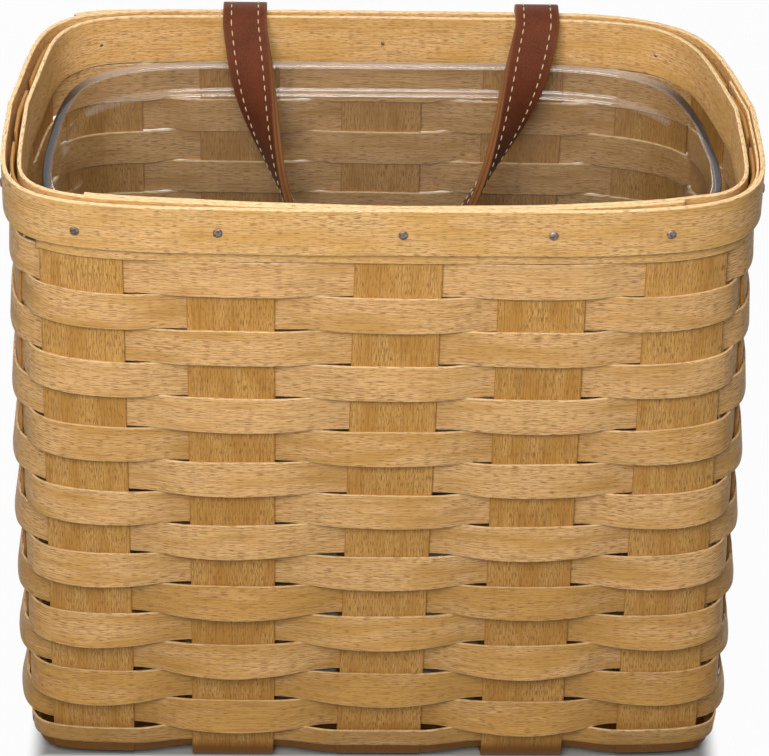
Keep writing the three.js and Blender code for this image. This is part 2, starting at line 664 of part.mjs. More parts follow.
const outerBand = rimStrip({
  from: { side: BACK, along: OUTER_LAP_START },
  to: { side: BACK, along: OUTER_LAP_END, turns: 1 },
  topDrop: 0,
  bottomDrop: OUTER_BAND_HEIGHT,
  thickness: OUTER_BAND_THICKNESS,
  ...lappedBand(OUTER_BAND_OFFSET, OUTER_BAND_THICKNESS + FIT, OUTER_LAP_END - OUTER_LAP_START, false),
});
const holes = bandTacks.map(({ face, out, depth }) => tackHole(face, out, depth + FIT / 2));
addPiece('rim_outer_band', cut(outerBand, holes), 'rim');

addPiece('rim_filler_strip', rimStrip({
  from: { side: FRONT, along: longStakeAlong(FRONT, 0, 0) - STAKE_WIDTH / 2 },
  to: { side: RIGHT, along: crossStakeAlong(RIGHT, SIDE_STAKES - 1) - STAKE_WIDTH / 2 },
  topDrop: FILLER_TOP_DROP,
  bottomDrop: FILLER_BOTTOM_DROP,
  thickness: FILLER_THICKNESS,
  offsetAt: () => FILLER_OFFSET,
  joints: () => [],
}), 'rim');

addPiece('rim_inner_band', rimStrip({
  from: { side: FRONT, along: INNER_LAP_START },
  to: { side: FRONT, along: INNER_LAP_END, turns: 1 },
  topDrop: 0,
  bottomDrop: INNER_BAND_HEIGHT,
  thickness: INNER_BAND_THICKNESS,
  ...lappedBand(INNER_BAND_OFFSET, -(INNER_BAND_THICKNESS + FIT), INNER_LAP_END - INNER_LAP_START, true),
}), 'rim');

for (const { name, face, out, depth } of bandTacks) {
  addTack(name, face.clone().addScaledVector(out, FIT), out, FIT + depth);
}

// Strap, its tabs and their tacks
const backward = new THREE.Vector3(0, 1, 0);
for (const [name, x] of [['left', STRAP_SHIFT - STRAP_SPREAD], ['right', STRAP_SHIFT + STRAP_SPREAD]]) {
  const seat = new THREE.Vector3(x, TAB_Y + STRAP_THICKNESS / 2, HEIGHT - STRAP_TACK_DROP);
  const hole = tackHole(seat, backward, STRAP_THICKNESS + FIT / 2);
  addPiece(`strap_tab_${name}`, cut(strapTab(x), [hole]), 'leather');
  addTack(`strap_tack_${name}`, seat.clone().addScaledVector(backward, FIT), backward, FIT + STRAP_THICKNESS);
}
addPiece('strap_loop', strapLoop(), 'leather');

addPiece('liner', liner(), 'liner');

export default group;
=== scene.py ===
# %% [markdown]
# # A splint wall basket with a leather strap and a clear liner
# The basket is woven from thin flat strips of maple: wide stakes run up and down, narrow
# weavers run round, and two bands clasp the rim. Each strip is a flat profile carried along
# a path, so the whole lesson is built on one idea: a grid of points worked out with numpy.
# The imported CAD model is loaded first. It fixes the size and place of every piece.

# %% Load the frame
import math

import bpy
import numpy as np
from mathutils import Matrix, Vector


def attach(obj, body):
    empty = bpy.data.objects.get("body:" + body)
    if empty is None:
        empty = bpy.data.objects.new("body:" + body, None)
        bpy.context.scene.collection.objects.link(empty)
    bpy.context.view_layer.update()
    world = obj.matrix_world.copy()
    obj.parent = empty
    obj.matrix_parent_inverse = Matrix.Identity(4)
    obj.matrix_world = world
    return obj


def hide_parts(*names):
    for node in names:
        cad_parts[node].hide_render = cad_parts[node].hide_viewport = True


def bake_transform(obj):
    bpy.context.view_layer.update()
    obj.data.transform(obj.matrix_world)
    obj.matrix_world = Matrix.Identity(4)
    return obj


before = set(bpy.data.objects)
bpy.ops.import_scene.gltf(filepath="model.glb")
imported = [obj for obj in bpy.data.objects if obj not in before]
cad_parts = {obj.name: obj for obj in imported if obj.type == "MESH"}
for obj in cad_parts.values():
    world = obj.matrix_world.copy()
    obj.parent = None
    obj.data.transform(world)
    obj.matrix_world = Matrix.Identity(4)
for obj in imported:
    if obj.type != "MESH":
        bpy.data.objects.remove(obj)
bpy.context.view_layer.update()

MM = 0.001

# %% [markdown]
# ## The wall that everything lies on
# The basket's outline is a rounded rectangle that is rounder at the rim and squarer at the
# base. A superellipse quarter at each corner gives that with one number per corner; the
# back is drawn in a little and the front bowed out. The wall could be a mesh to snap to,
# but a formula is exact, and every strip can then ask for a point by three plain numbers:
# how far round, how far down, and how far out.

# %% Sizes of the wall, in millimetres
RIM_WIDTH, RIM_DEPTH, HEIGHT = 254, 141, 231
STAKE_WIDTH, STAKE_THICKNESS = 29, 1.0
RIM_INSET = 3.6
BAND_HEIGHT = 17
RIM_ROUNDNESS = np.array([6.2, 5.6, 7.5, 6.4])
BACK_NARROWING = np.array([0, 12, 7.5, 0])
BASE_ROUNDNESS = 14
FRONT_BOW = 1.3
FRONT_BELLY, BACK_BELLY, SIDE_BELLY = 3.1, 0.6, 0.8
BASE_BEND = 4
BEND_CENTRE_Z = STAKE_THICKNESS / 2 + BASE_BEND
STRAIGHT_DROP = HEIGHT - BEND_CENTRE_Z
BEND_DROP = STRAIGHT_DROP + BASE_BEND * math.pi / 2
FRONT, RIGHT, BACK, LEFT = range(4)

LONG_STAKE_PITCH, CROSS_STAKE_PITCH = 49.5, 36.0
LONG_STAKE_DRIFT = np.array([-0.8, -0.6, 1.2, 2.6, 1.5])
LONG_STAKE_X = np.arange(-2, 3) * LONG_STAKE_PITCH + LONG_STAKE_DRIFT
CROSS_STAKE_Y = np.arange(-1, 2) * CROSS_STAKE_PITCH
CENTRE_STAKE_LEAN = 4.1
STAKE_SIDES = np.array([FRONT] * 5 + [RIGHT] * 3 + [BACK] * 5 + [LEFT] * 3)
STAKES = len(STAKE_SIDES)
print("stakes round the basket:", STAKES)

# %% Small formulas


def signed_power(value, power):
    """The size of value raised to power, with value's own sign."""
    return np.sign(value) * np.abs(value) ** power


def smooth_step(value, low, high):
    """0 below low, 1 above high, and a smooth S between."""
    t = np.clip((value - low) / (high - low), 0, 1)
    return t * t * (3 - 2 * t)


def unit(ways):
    """Each way divided by its own length."""
    return ways / np.linalg.norm(ways, axis=-1, keepdims=True)


def running_length(points):
    """Distance along a line of points, from 0 at the first one."""
    steps = np.linalg.norm(np.diff(points, axis=0), axis=-1)
    return np.concatenate([[0], np.cumsum(steps)])


def arc(start, corner, end, steps):
    """A quadratic arc from start to end that leaves and arrives along lines to the corner."""
    t = np.linspace(0, 1, steps)[:, None]
    start, corner, end = map(np.asarray, (start, corner, end))
    return (1 - t) ** 2 * start + 2 * t * (1 - t) * corner + t ** 2 * end


# %% Sizes of the wall at each level


def wall_sizes(drop):
    """Half width, front and back half depth, roundness and narrowing at a drop below the rim.
    The belly is a parabola from rim to base; in the base bend all sides draw in on a circle."""
    share = np.clip((drop - BAND_HEIGHT) / (STRAIGHT_DROP - BAND_HEIGHT), 0, 1)
    belly = 4 * share * (1 - share)
    bend = max(0, drop - STRAIGHT_DROP) / BASE_BEND
    inset = RIM_INSET + BASE_BEND * (1 - math.cos(bend))
    half_width = RIM_WIDTH / 2 + SIDE_BELLY * belly - inset
    front = RIM_DEPTH / 2 - FRONT_BOW + FRONT_BELLY * belly - inset
    back = RIM_DEPTH / 2 + BACK_BELLY * belly - inset
    roundness = RIM_ROUNDNESS + (BASE_ROUNDNESS - RIM_ROUNDNESS) * share ** 2
    return half_width, front, back, roundness, BACK_NARROWING * (1 - share)


def stake_alongs(drop):
    """Distance of every stake's middle from the middle of its own side, counter-clockwise.
    The centre stake of the front leans, most at the rim and not at all at the base."""
    lean = np.array([0, 0, CENTRE_STAKE_LEAN * max(0, 1 - drop / STRAIGHT_DROP), 0, 0])
    return np.concatenate(
        [LONG_STAKE_X + lean, CROSS_STAKE_Y, -LONG_STAKE_X[::-1], -CROSS_STAKE_Y[::-1]])


# %% Chart the wall: outline points for a grid of drops and places round
STEPS_PER_STAKE, QUARTER_STEPS = 100, 400
WALL_LEVELS, BEND_LEVELS = 72, 13
CHART_DROPS = np.concatenate([np.linspace(0, STRAIGHT_DROP, WALL_LEVELS, endpoint=False),
                              np.linspace(STRAIGHT_DROP, BEND_DROP, BEND_LEVELS)])


def chart_level(drop):
    """One level: x = a |cos|^(2/n), y = b |sin|^(2/n) in four quarters, drawn in at the back
    by n |y| and bowed out at the front by 1 - x^2, then read off by its running length at
    even steps between one stake's middle and the next. The outward way is the slope of
    |x|^n + |y|^n, turned by the drawing in and the bow."""
    half_width, front, back, roundness, narrowing = wall_sizes(drop)
    step = smooth_step(np.arange(QUARTER_STEPS) / QUARTER_STEPS, 0, 1)
    turn = np.append((np.arange(4)[:, None] + step).ravel(), 4) * math.pi / 2 - math.pi / 2
    quarter = np.minimum(np.arange(turn.size) // QUARTER_STEPS, 3)
    flat_x = signed_power(np.cos(turn), 2 / roundness[quarter])
    flat_y = signed_power(np.sin(turn), 2 / roundness[quarter])
    x = (half_width - narrowing[quarter] * np.abs(flat_y)) * flat_x
    y = np.where(flat_y < 0, front * flat_y - FRONT_BOW * (1 - flat_x ** 2), back * flat_y)
    length = running_length(np.stack([x, y], -1))
    middles = length[np.arange(4) * QUARTER_STEPS]
    stakes = middles[STAKE_SIDES] + stake_alongs(drop)
    stakes = np.append(stakes, stakes[0] + length[-1])
    place = np.interp(np.arange(STAKES * STEPS_PER_STAKE + 1) / STEPS_PER_STAKE,
                      np.arange(STAKES + 1), stakes)
    px, py, fx, fy = (np.interp(place % length[-1], length, v) for v in (x, y, flat_x, flat_y))
    corner = np.where(fy < 0, np.where(fx > 0, 0, 3), np.where(fx > 0, 1, 2))
    depth, power, drawn = np.where(fy < 0, front, back), roundness[corner], narrowing[corner]
    bow = np.where(fy < 0, FRONT_BOW, 0)
    slope_x = signed_power(fx, power - 1) / (half_width - drawn * np.abs(fy))
    slope_y = signed_power(fy, power - 1)
    out = unit(np.stack([slope_x - slope_y / depth * 2 * bow * fx / half_width,
                         (slope_y + drawn * fx * slope_x) / depth], -1))
    return np.column_stack([px, py, out, place]), stakes, middles


levels = [chart_level(drop) for drop in CHART_DROPS]
wall_chart, stake_places, side_middles = (np.stack(kind) for kind in zip(*levels))
RIM_GIRTH = np.ptp(stake_places[0])
print("wall chart:", wall_chart.shape, "girth at the rim:", RIM_GIRTH, "mm")

# %% Read the chart


def chart_at(hoop, drop):
    """Reads the chart between its grid lines. hoop counts stakes round the basket."""
    level = np.interp(drop, CHART_DROPS, np.arange(CHART_DROPS.size))
    row = np.minimum(level.astype(int), CHART_DROPS.size - 2)
    step = np.mod(hoop, STAKES) * STEPS_PER_STAKE
    column = np.minimum(step.astype(int), STAKES * STEPS_PER_STAKE - 1)
    down, along = (level - row)[..., None], (step - column)[..., None]
    upper = wall_chart[row, column] * (1 - along) + wall_chart[row, column + 1] * along
    lower = wall_chart[row + 1, column] * (1 - along) + wall_chart[row + 1, column + 1] * along
    return upper * (1 - down) + lower * down


def on_wall(hoop, drop, out):
    """Point on the wall: hoop round it, drop below the rim, and moved outward by out."""
    hoop, drop, out = np.broadcast_arrays(
        *(np.asarray(value, float) for value in (hoop, drop, out)))
    found = chart_at(hoop, drop)
    bend = np.maximum(0, drop - STRAIGHT_DROP) / BASE_BEND
    z = np.where(drop < STRAIGHT_DROP, HEIGHT - drop, BEND_CENTRE_Z - BASE_BEND * np.sin(bend))
    flat = found[..., :2] + found[..., 2:4] * (out * np.cos(bend))[..., None]
    return np.concatenate([flat, (z - out * np.sin(bend))[..., None]], -1)


def spacing(stake, drop):
    """Distance from a stake's middle to the next one's, at a drop."""
    return np.interp(drop, CHART_DROPS, np.diff(stake_places, axis=1)[:, stake % STAKES])


def hoop_at(side, along, drop):
    """The hoop number of a place counted from the middle of a side."""
    level = int(np.argmin(np.abs(CHART_DROPS - drop)))
    girth = np.ptp(stake_places[level])
    once = stake_places[level, :-1]
    places = np.concatenate([once - girth, once, stake_places[level] + girth])
    hoops = np.arange(-STAKES, 2 * STAKES + 1)
    return np.interp(side_middles[level, side] + along, places, hoops)


# %% [markdown]
# ## Putting a strip into Blender
# A strip is a ring of points (its cross-section) repeated along a path. Rings next to each
# other are joined by quads, and an open strip gets a flat cap at both ends. The mesh is
# filled with foreach_set, which takes whole arrays at once. Each strip also gets a UV map
# in metres, so that wood grain follows it, and a cut_edge value that marks its sawn edges.
# The map is kept per corner, so that it runs on evenly over the seam of a closed hoop.

# %% Quads of a strip


def strip_corners(stations, count, closed):
    """Station and ring number of each quad's corners, counted on past a closing seam. An open
    strip gets cap quads that join ring point j to its mirror point."""
    i, j = np.meshgrid(np.arange(stations - (not closed)), np.arange(count), indexing="ij")
    i, j = i.ravel(), j.ravel()
    station, ring = np.stack([i, i, i + 1, i + 1], -1), np.stack([j, j + 1, j + 1, j], -1)
    if not closed:
        j = np.arange(count // 2 - 1)
        mirror = count - 1 - j
        start = np.stack([j, mirror, mirror - 1, j + 1], -1)
        end = np.stack([j, j + 1, mirror - 1, mirror], -1)
        station = np.concatenate([station, 0 * start, 0 * end + stations - 1])
        ring = np.concatenate([ring, start, end])
    return station, ring


def strip_quads(stations, count, closed, copies=1):
    """Point numbers of the quads of one strip, or of several like strips one after another."""
    station, ring = strip_corners(stations, count, closed)
    quads = station % stations * count + ring % count
    steps = np.arange(copies)[:, None, None] * stations * count
    return (quads[None] + steps).reshape(-1, 4)


# %% Mesh from points and quads


def signed_volume(points, quads):
    """Six times the volume inside the quads; negative when they face inward."""
    a, b, c, d = (points[quads[:, i]] for i in range(4))
    return np.sum(a * np.cross(b, c)) + np.sum(a * np.cross(c, d))


def put_in_scene(name, data):
    """A new object for a mesh, a lamp or a camera."""
    thing = bpy.data.objects.new(name, data)
    bpy.context.scene.collection.objects.link(thing)
    return thing


def add_mesh(name, points, quads, grain=None, **marks):
    """A new object from points in mm, quads, a grain map in mm per corner and marks per point."""
    if signed_volume(points, quads) < 0:
        quads = quads[:, ::-1]
        grain = None if grain is None else grain[:, ::-1]
    mesh = bpy.data.meshes.new(name)
    mesh.vertices.add(len(points))
    mesh.vertices.foreach_set("co", (points * MM).astype(np.float32).ravel())
    mesh.loops.add(quads.size)
    mesh.loops.foreach_set("vertex_index", quads.astype(np.int32).ravel())
    mesh.polygons.add(len(quads))
    mesh.polygons.foreach_set("loop_start", np.arange(0, quads.size, 4, dtype=np.int32))
    mesh.update(calc_edges=True)
    mesh.polygons.foreach_set("use_smooth", np.ones(len(quads), bool))
    if grain is not None:
        layer = mesh.uv_layers.new(name="grain")
        layer.data.foreach_set("uv", (grain * MM).astype(np.float32).ravel())
    for mark, values in marks.items():
        kept = mesh.attributes.new(mark, "FLOAT", "POINT")
        kept.data.foreach_set("value", np.broadcast_to(values, len(points)).astype(np.float32))
    return put_in_scene(name, mesh)


def add_strip(name, rings, along, around, edge, closed, board=0.0):
    """A strip from rings (stations, count, 3). along has a value per station and around one per
    ring point, each with one more where the strip closes; the last argument is the tone of its
    wood, which on the weavers also holds a painted shade that darkens the lower rows."""
    stations, count = rings.shape[:2]
    station, ring = strip_corners(stations, count, closed)
    grain = np.stack([along[station], around[ring]], -1)
    return add_mesh(name, rings.reshape(-1, 3), strip_quads(stations, count, closed), grain,
                    cut_edge=np.broadcast_to(edge, (stations, count)).ravel(), board=board)


# %% Cross-sections and the wobble of the hand
SAWN_EDGE_MARK = np.array([0.8, 0.95, 1, 0.6, 0])
FACE_START, EDGE_MIDDLE = 2.2, 0.2
WANDER_WAVES = np.array([3, 8, 17])


def section_run(across, out):
    """Running length round a cross-section, back to its first point."""
    ring = np.stack([across, out], -1)
    return running_length(np.concatenate([ring, ring[:1]]))


def closed_section(edge_in, edge_up, edge_mark, width, thickness, face_points):
    """A cross-section from the points of one edge: that edge, a flat face, the edge mirrored,
    and then the same turned over. Returns across, out and the edge mark of each point."""
    half = width / 2
    face = np.linspace(-half + edge_in[-1], half - edge_in[-1], face_points + 2)[1:-1]
    across = np.concatenate([-half + edge_in, face, half - edge_in[::-1]])
    out = np.concatenate([edge_up, np.full(face_points, thickness / 2), edge_up[::-1]])
    mark = np.concatenate([edge_mark, 0 * face, edge_mark[::-1]])
    return tuple(np.concatenate(halves) for halves in (
        (across, across[::-1]), (out, -out[::-1]), (mark, mark[::-1])))


def splint_section(width, thickness, corner, face_points):
    """Cross-section of a sawn strip: its corners are arcs of radius corner, and its face
    starts at FACE_START times that radius."""
    thick = thickness / 2
    bow = corner * (1 - math.sqrt(0.5))
    edge_in = np.array([0, 0, bow, corner, FACE_START * corner])
    edge_up = np.array([EDGE_MIDDLE * thick, thick - corner, thick - bow, thick, thick])
    return closed_section(edge_in, edge_up, SAWN_EDGE_MARK, width, thickness, face_points)


def hand_wander(hoop, seed, reach):
    """A slow hand-made wobble: three seeded sine waves round the basket, about reach in size."""
    phases = np.random.default_rng(seed).uniform(0, 2 * np.pi, WANDER_WAVES.size)
    waves = WANDER_WAVES * 2 * np.pi / STAKES
    return reach / 2 * np.sin(np.asarray(hoop)[..., None] * waves + phases).sum(-1)


# %% [markdown]
# ## Small helpers for materials
# Colours are written as sRGB hex values, as a paint chart would give them, and turned to
# the linear numbers that Blender's shaders expect. One function adds any node, so a
# material reads as a short list of what feeds what.

# %% Colour and node helpers


def colour(hex_code):
    """sRGB hex to linear RGBA: the lower part is a straight line, the rest a power of 2.4."""
    srgb = np.array([int(hex_code[i:i + 2], 16) for i in (1, 3, 5)]) / 255
    linear = np.where(srgb <= 0.04045, srgb / 12.92, ((srgb + 0.055) / 1.055) ** 2.4)
    return (*map(float, linear), 1.0)


def add(tree, kind, sockets=None, **settings):
    """Adds a shader node, sets its own settings, and fills or links its sockets. A node given
    for a socket is linked from its first output in use."""
    made = tree.nodes.new("ShaderNode" + kind)
    for key, value in settings.items():
        setattr(made, key, value)
    for key, value in (sockets or {}).items():
        if isinstance(value, bpy.types.Node):
            value = next(socket for socket in value.outputs if socket.enabled)
        if isinstance(value, bpy.types.NodeSocket):
            tree.links.new(value, made.inputs[key])
        else:
            made.inputs[key].default_value = value
    return made


def new_finish(name):
    """An empty material and its node tree."""
    finish = bpy.data.materials.new(name)
    finish.use_nodes = True
    finish.node_tree.nodes.clear()
    return finish, finish.node_tree


def give(piece, finish, nodes, body):
    """Gives a piece its finish, the CAD nodes it stands for and its body."""
    piece.data.materials.append(finish)
    if nodes:
        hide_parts(*nodes)
    if body:
        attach(piece, body)
    return piece


# %% [markdown]
# ## Maple splint
# The strips are sliced maple, sawn to width, with a thin satin lacquer. Close up, maple
# shows short fine dark flecks along the grain, faint fibre streaks, slow cloudy patches,
# and slightly paler sawn edges on weavers and rim. Each of these is a noise stretched along
# the strip's own grain map, at its size on real wood. The edges also carry painted light:
# on the stakes they are darker, a painted shade where the stakes meet the weavers, and on
# the weavers they are palest inside the basket, a painted highlight. Near the foot the wood
# is painted darker, a painted shade where the strips bend under the base. The stakes are
# cut from a warmer board than the weavers, so the same wood is mixed three times, and each
# strip has a tone of its own; the weavers also darken row by row towards the base, a
# painted shade.

# %% Maple finishes
FLECK_LENGTH, FLECK_WIDTH = 2.8 * MM, 0.24 * MM
FIBRE_LENGTH, FIBRE_WIDTH = 14 * MM, 0.45 * MM
CLOUD_LENGTH, CLOUD_WIDTH = 30 * MM, 7 * MM
# Heights and colour of the painted shade at the foot, where the strips bend under the base.
FOOT_TOP, FOOT_LOW, FOOT_SHADE = 10.5 * MM, 4.8 * MM, "#6b3f08"
SAWN_AND_PAINTED_EDGE_SHARE, FLECKS_IN_CLOUDS, FLECK_RELIEF = 0.8, -0.25, -1.0


def maple(name, pale, warm, fleck, sawn_and_painted_edge):
    """Lacquered maple splint: clouds, fibres, edges, flecks and a painted shade at the foot, in
    that order. The edge colour is a paler sawn edge on weavers and rim and a painted shade on
    the stakes.
    """
    finish, tree = new_finish(name)
    grain = add(tree, "UVMap", uv_map="grain")
    noises = {}
    for part, length, width, detail in (("fleck", FLECK_LENGTH, FLECK_WIDTH, 2),
                                        ("fibre", FIBRE_LENGTH, FIBRE_WIDTH, 3),
                                        ("cloud", CLOUD_LENGTH, CLOUD_WIDTH, 3)):
        stretched = add(tree, "Mapping", {"Vector": grain, "Scale": (1 / length, 1 / width, 1)})
        noises[part] = add(tree, "TexNoise", {"Vector": stretched, "Scale": 1, "Detail": detail},
                           noise_dimensions="2D")
    # The strip's tone; on the weavers it also holds the painted shade by row.
    board = add(tree, "Attribute", attribute_name="board").outputs["Fac"]
    toned = add(tree, "Math", {0: board, 1: noises["cloud"]})
    clouds = add(tree, "MapRange", {"Value": toned, "From Min": 0.3, "From Max": 0.7},
                 interpolation_type="SMOOTHSTEP")
    fibres = add(tree, "MapRange", {"Value": noises["fibre"], "From Min": 0.45,
                                    "From Max": 0.72, "To Max": 0.48})
    edges = add(tree, "Attribute", attribute_name="cut_edge").outputs["Fac"]
    # Edge colour: paler sawn edges on weavers and rim; on the stakes a darker painted shade along
    # their edges.
    sawn_and_painted_edge_share = add(tree, "Math", {0: edges, 1: SAWN_AND_PAINTED_EDGE_SHARE}, operation="MULTIPLY")
    lifted = add(tree, "Math", {0: noises["cloud"], 1: FLECKS_IN_CLOUDS, 2: noises["fleck"]},
                 operation="MULTIPLY_ADD")
    flecks = add(tree, "MapRange", {"Value": lifted, "From Min": 0.39, "From Max": 0.58,
                                    "To Max": 0.8}, interpolation_type="SMOOTHSTEP")
    place = add(tree, "TexCoord").outputs["Object"]
    height = add(tree, "SeparateXYZ", {0: place}).outputs["Z"]
    # Darker below FOOT_TOP: a painted shade where the strips bend under the base.
    foot_shade = add(tree, "MapRange", {"Value": height, "From Min": FOOT_TOP, "From Max": FOOT_LOW,
                                  "To Max": 0.95}, interpolation_type="SMOOTHSTEP")
    mixed = colour(pale)
    for share, shade in ((clouds, warm), (fibres, fleck), (sawn_and_painted_edge_share, sawn_and_painted_edge), (flecks, fleck),
                         (foot_shade, FOOT_SHADE)):
        mixed = add(tree, "Mix", {0: share, 6: mixed, 7: colour(shade)}, data_type="RGBA")
    rough = add(tree, "MapRange", {"Value": noises["fleck"], "From Min": 0.3, "From Max": 0.7,
                                   "To Min": 0.44, "To Max": 0.62})
    relief = add(tree, "Math", {0: flecks, 1: FLECK_RELIEF, 2: noises["fibre"]},
                 operation="MULTIPLY_ADD")
    bump = add(tree, "Bump", {"Strength": 0.35, "Distance": 0.1 * MM, "Height": relief})
    shader = add(tree, "BsdfPrincipled", {"Base Color": mixed, "Roughness": rough, "Normal": bump,
                                          "IOR": 1.5, "Specular IOR Level": 0.2})
    add(tree, "OutputMaterial", {0: shader})
    return finish


weaver_maple = maple("lacquered_maple_weaver", "#dcaf76", "#c29350", "#8c602f", "#efd9af")
# The stake's edge colour is darker than its face: a painted shade along the stake edges, where
# they meet the weavers.
stake_maple = maple("lacquered_maple_stake", "#cf9f5a", "#b98641", "#825626", "#ae7c3c")
rim_maple = maple("lacquered_maple_rim", "#e8bb7f", "#d6a662", "#956834", "#efcf9b")
print("maple finishes:", [m.name for m in (weaver_maple, stake_maple, rim_maple)])

# %% [markdown]
# ## The weavers
# A weaver goes outside one stake and inside the next, and the row below does the opposite.
# That needs an odd number of places, or a separate hoop for every row; this basket has 16
# stakes round it, so it is woven in hoops. The path is flat against each stake and crosses
# over in the gap; it starts and ends behind a side stake, where the real ends are tucked.
# The last row is tucked under at its lower edge, where the base begins.
# Where a weaver passes outside, it dips a little and its lower edge bows away from the
# wall, and where it passes inside, it stays up. Both grow towards the base, which gives the
# weave its droop and opens small wedges beside the stakes. A curve with a bevel could
# follow that path, but could not tilt the strip by its edges, so the rings are computed.

# %% Weave sizes and the over-and-under path
ROWS = 16
WEAVER_THICKNESS, WEAVER_CORNER, WEAVER_OUT = 0.9, 0.24, 1.0
WEAVER_FACE_POINTS, LAST_ROW_FACE_POINTS = 4, 16
FIRST_ROW_DROP, LAST_ROW_TO_BASE, LAST_ROW_TRIM = 21.3, 5.4, 2.4
ROW_GAP = 0.1
ROW_PITCH = (BEND_DROP - LAST_ROW_TO_BASE - FIRST_ROW_DROP) / ROWS
WEAVER_WIDTH = ROW_PITCH - ROW_GAP
FLARE_TOP_ROW, FLARE_LOW_ROW = 0.7, 4.2
FLARE_BY_SIDE = np.array([1.0, 0.6, 0.4, 0.6])
FLARE_BY_HAND = (0.82, 1.18)
LAST_ROW_FLARE = ([0, 0.5, 1], [2.2, 0.8, 0.4])
LAST_ROW_TUCK, TUCK_STEP, TUCK_SHARES = 3.6, 2.0, (0.57, 0.69)
LAP_INSIDE_TOP, LAP_INSIDE_LOW, LAP_AT_BACK = 0.5, 0.1, 0.9
LAP_WHERE_FLAT, LAP_BACK_Y = (0.3, 1), (50, 62)
ROW_DIP, ROW_WANDER = 1.1, 0.22
FIRST_ROW_RISE, RISE_LEFT_Y, RISE_RIGHT_Y = 2.2, (-55, -40), (25, 45)
# Share of the edge colour where a weaver passes outside; inside it is full, a painted highlight.
EDGE_SHARE_OUTSIDE = 0.4
# The tone by row is a painted shade: it darkens the weavers steadily towards the base.
WEAVER_TONE_BY_HAND, WEAVER_SHADE_BY_ROW = (-0.12, 0.12), (-0.14, 0.16)
STATIONS_PER_STAKE, SEAM_STAKE, HAND_SEED = 48, 13, 7
WEAVER_BOARD_STEP = (137, 61)


def weave_path(row, hoop, drop):
    """Over or under (1 to -1), the bow of the lower edge (0 to 1) and the stake passed outside.
    Flat over a stake, a smoothstep across the gap; the bow is a squared cosine that runs
    from the edge of one inside stake to the edge of the next."""
    stake = np.floor(hoop).astype(int) % STAKES
    gap_to_next = np.array([spacing(k, drop) for k in range(STAKES)])[stake]
    run = (hoop - np.floor(hoop)) * gap_to_next
    over_here = (stake + row) % 2 == 1
    crossing = smooth_step(run, STAKE_WIDTH / 2, gap_to_next - STAKE_WIDTH / 2)
    over = np.where(over_here, 1 - 2 * crossing, 2 * crossing - 1)
    from_over = np.where(over_here, run, gap_to_next - run)
    reach = gap_to_next - STAKE_WIDTH / 2
    bow = np.cos(np.clip(from_over / reach, 0, 1) * math.pi / 2) ** 2
    return over, bow, np.where(over_here, stake, stake + 1) % STAKES


# %% The shape of one hoop
hoop_steps = np.arange(STATIONS_PER_STAKE * STAKES + 1) / STATIONS_PER_STAKE
hand = np.random.default_rng(HAND_SEED)
flare_by_hand = hand.uniform(*FLARE_BY_HAND, (ROWS, STAKES)) * FLARE_BY_SIDE[STAKE_SIDES]
# Each weaver's tone: a random part, and a painted shade that darkens row by row towards the base.
weaver_tones_and_shade = (hand.uniform(*WEAVER_TONE_BY_HAND, ROWS)
                + np.linspace(*WEAVER_SHADE_BY_ROW, ROWS))


def weaver_rings(row):
    """Rings, edge marks and running length of one hoop. Each section point has a share of the
    width: 0 at the top edge, 1 at the lower. Flare moves that share of the width outward, lap
    makes the row wider, and sink lowers it where it passes outside. The last row is tucked
    under instead, and the first is raised where no filler strip covers it."""
    last = row == ROWS - 1
    lowness = row / (ROWS - 2)
    hoop = hoop_steps[:-1] + SEAM_STAKE + (row + 1) % 2
    width = WEAVER_WIDTH - (LAST_ROW_TRIM if last else 0)
    top_drop = FIRST_ROW_DROP + row * ROW_PITCH + ROW_GAP / 2
    across, out, mark = splint_section(width, WEAVER_THICKNESS, WEAVER_CORNER,
                                       LAST_ROW_FACE_POINTS if last else WEAVER_FACE_POINTS)
    share = across / width + 0.5
    over, bow, over_stake = weave_path(row, hoop, top_drop + width / 2)
    over, hang = over[:, None], (flare_by_hand[row, over_stake] * bow)[:, None]
    x, y = chart_at(hoop, np.full(hoop.shape, top_drop))[:, :2].T[..., None]
    if last:
        flare = (np.interp(share, *LAST_ROW_FLARE) * (over + 1) / 2
                 - TUCK_STEP * smooth_step(share, *TUCK_SHARES))
        lap, sink, tilt = LAST_ROW_TUCK, 0, 0
    else:
        low = (FLARE_TOP_ROW + (FLARE_LOW_ROW - FLARE_TOP_ROW) * lowness) * hang
        flare, tilt = low * share, np.arctan2(low, width)
        lap = ((LAP_INSIDE_TOP + (LAP_INSIDE_LOW - LAP_INSIDE_TOP) * lowness)
               * smooth_step(-over, *LAP_WHERE_FLAT)
               + LAP_AT_BACK * smooth_step(over, *LAP_WHERE_FLAT) * smooth_step(y, *LAP_BACK_Y))
        sink = hand_wander(hoop, row, ROW_WANDER)[:, None] + ROW_DIP * lowness * hang
    drop = top_drop + (width + lap) * share + sink - out * np.sin(tilt)
    if row == 0:
        no_filler = np.where(x < 0, smooth_step(y, *RISE_LEFT_Y), smooth_step(y, *RISE_RIGHT_Y))
        drop = drop - FIRST_ROW_RISE * no_filler * (1 - share)
    offset = WEAVER_OUT * over + flare + out * np.cos(tilt)
    # The edge colour is full where the weaver passes inside, a painted highlight standing for top
    # edges lit from above; outside it is a smaller share, the sawn edges' own paleness.
    edge = mark * np.where(over < 0, 1, EDGE_SHARE_OUTSIDE)
    return on_wall(hoop[:, None], drop, offset), edge, section_run(across, out)


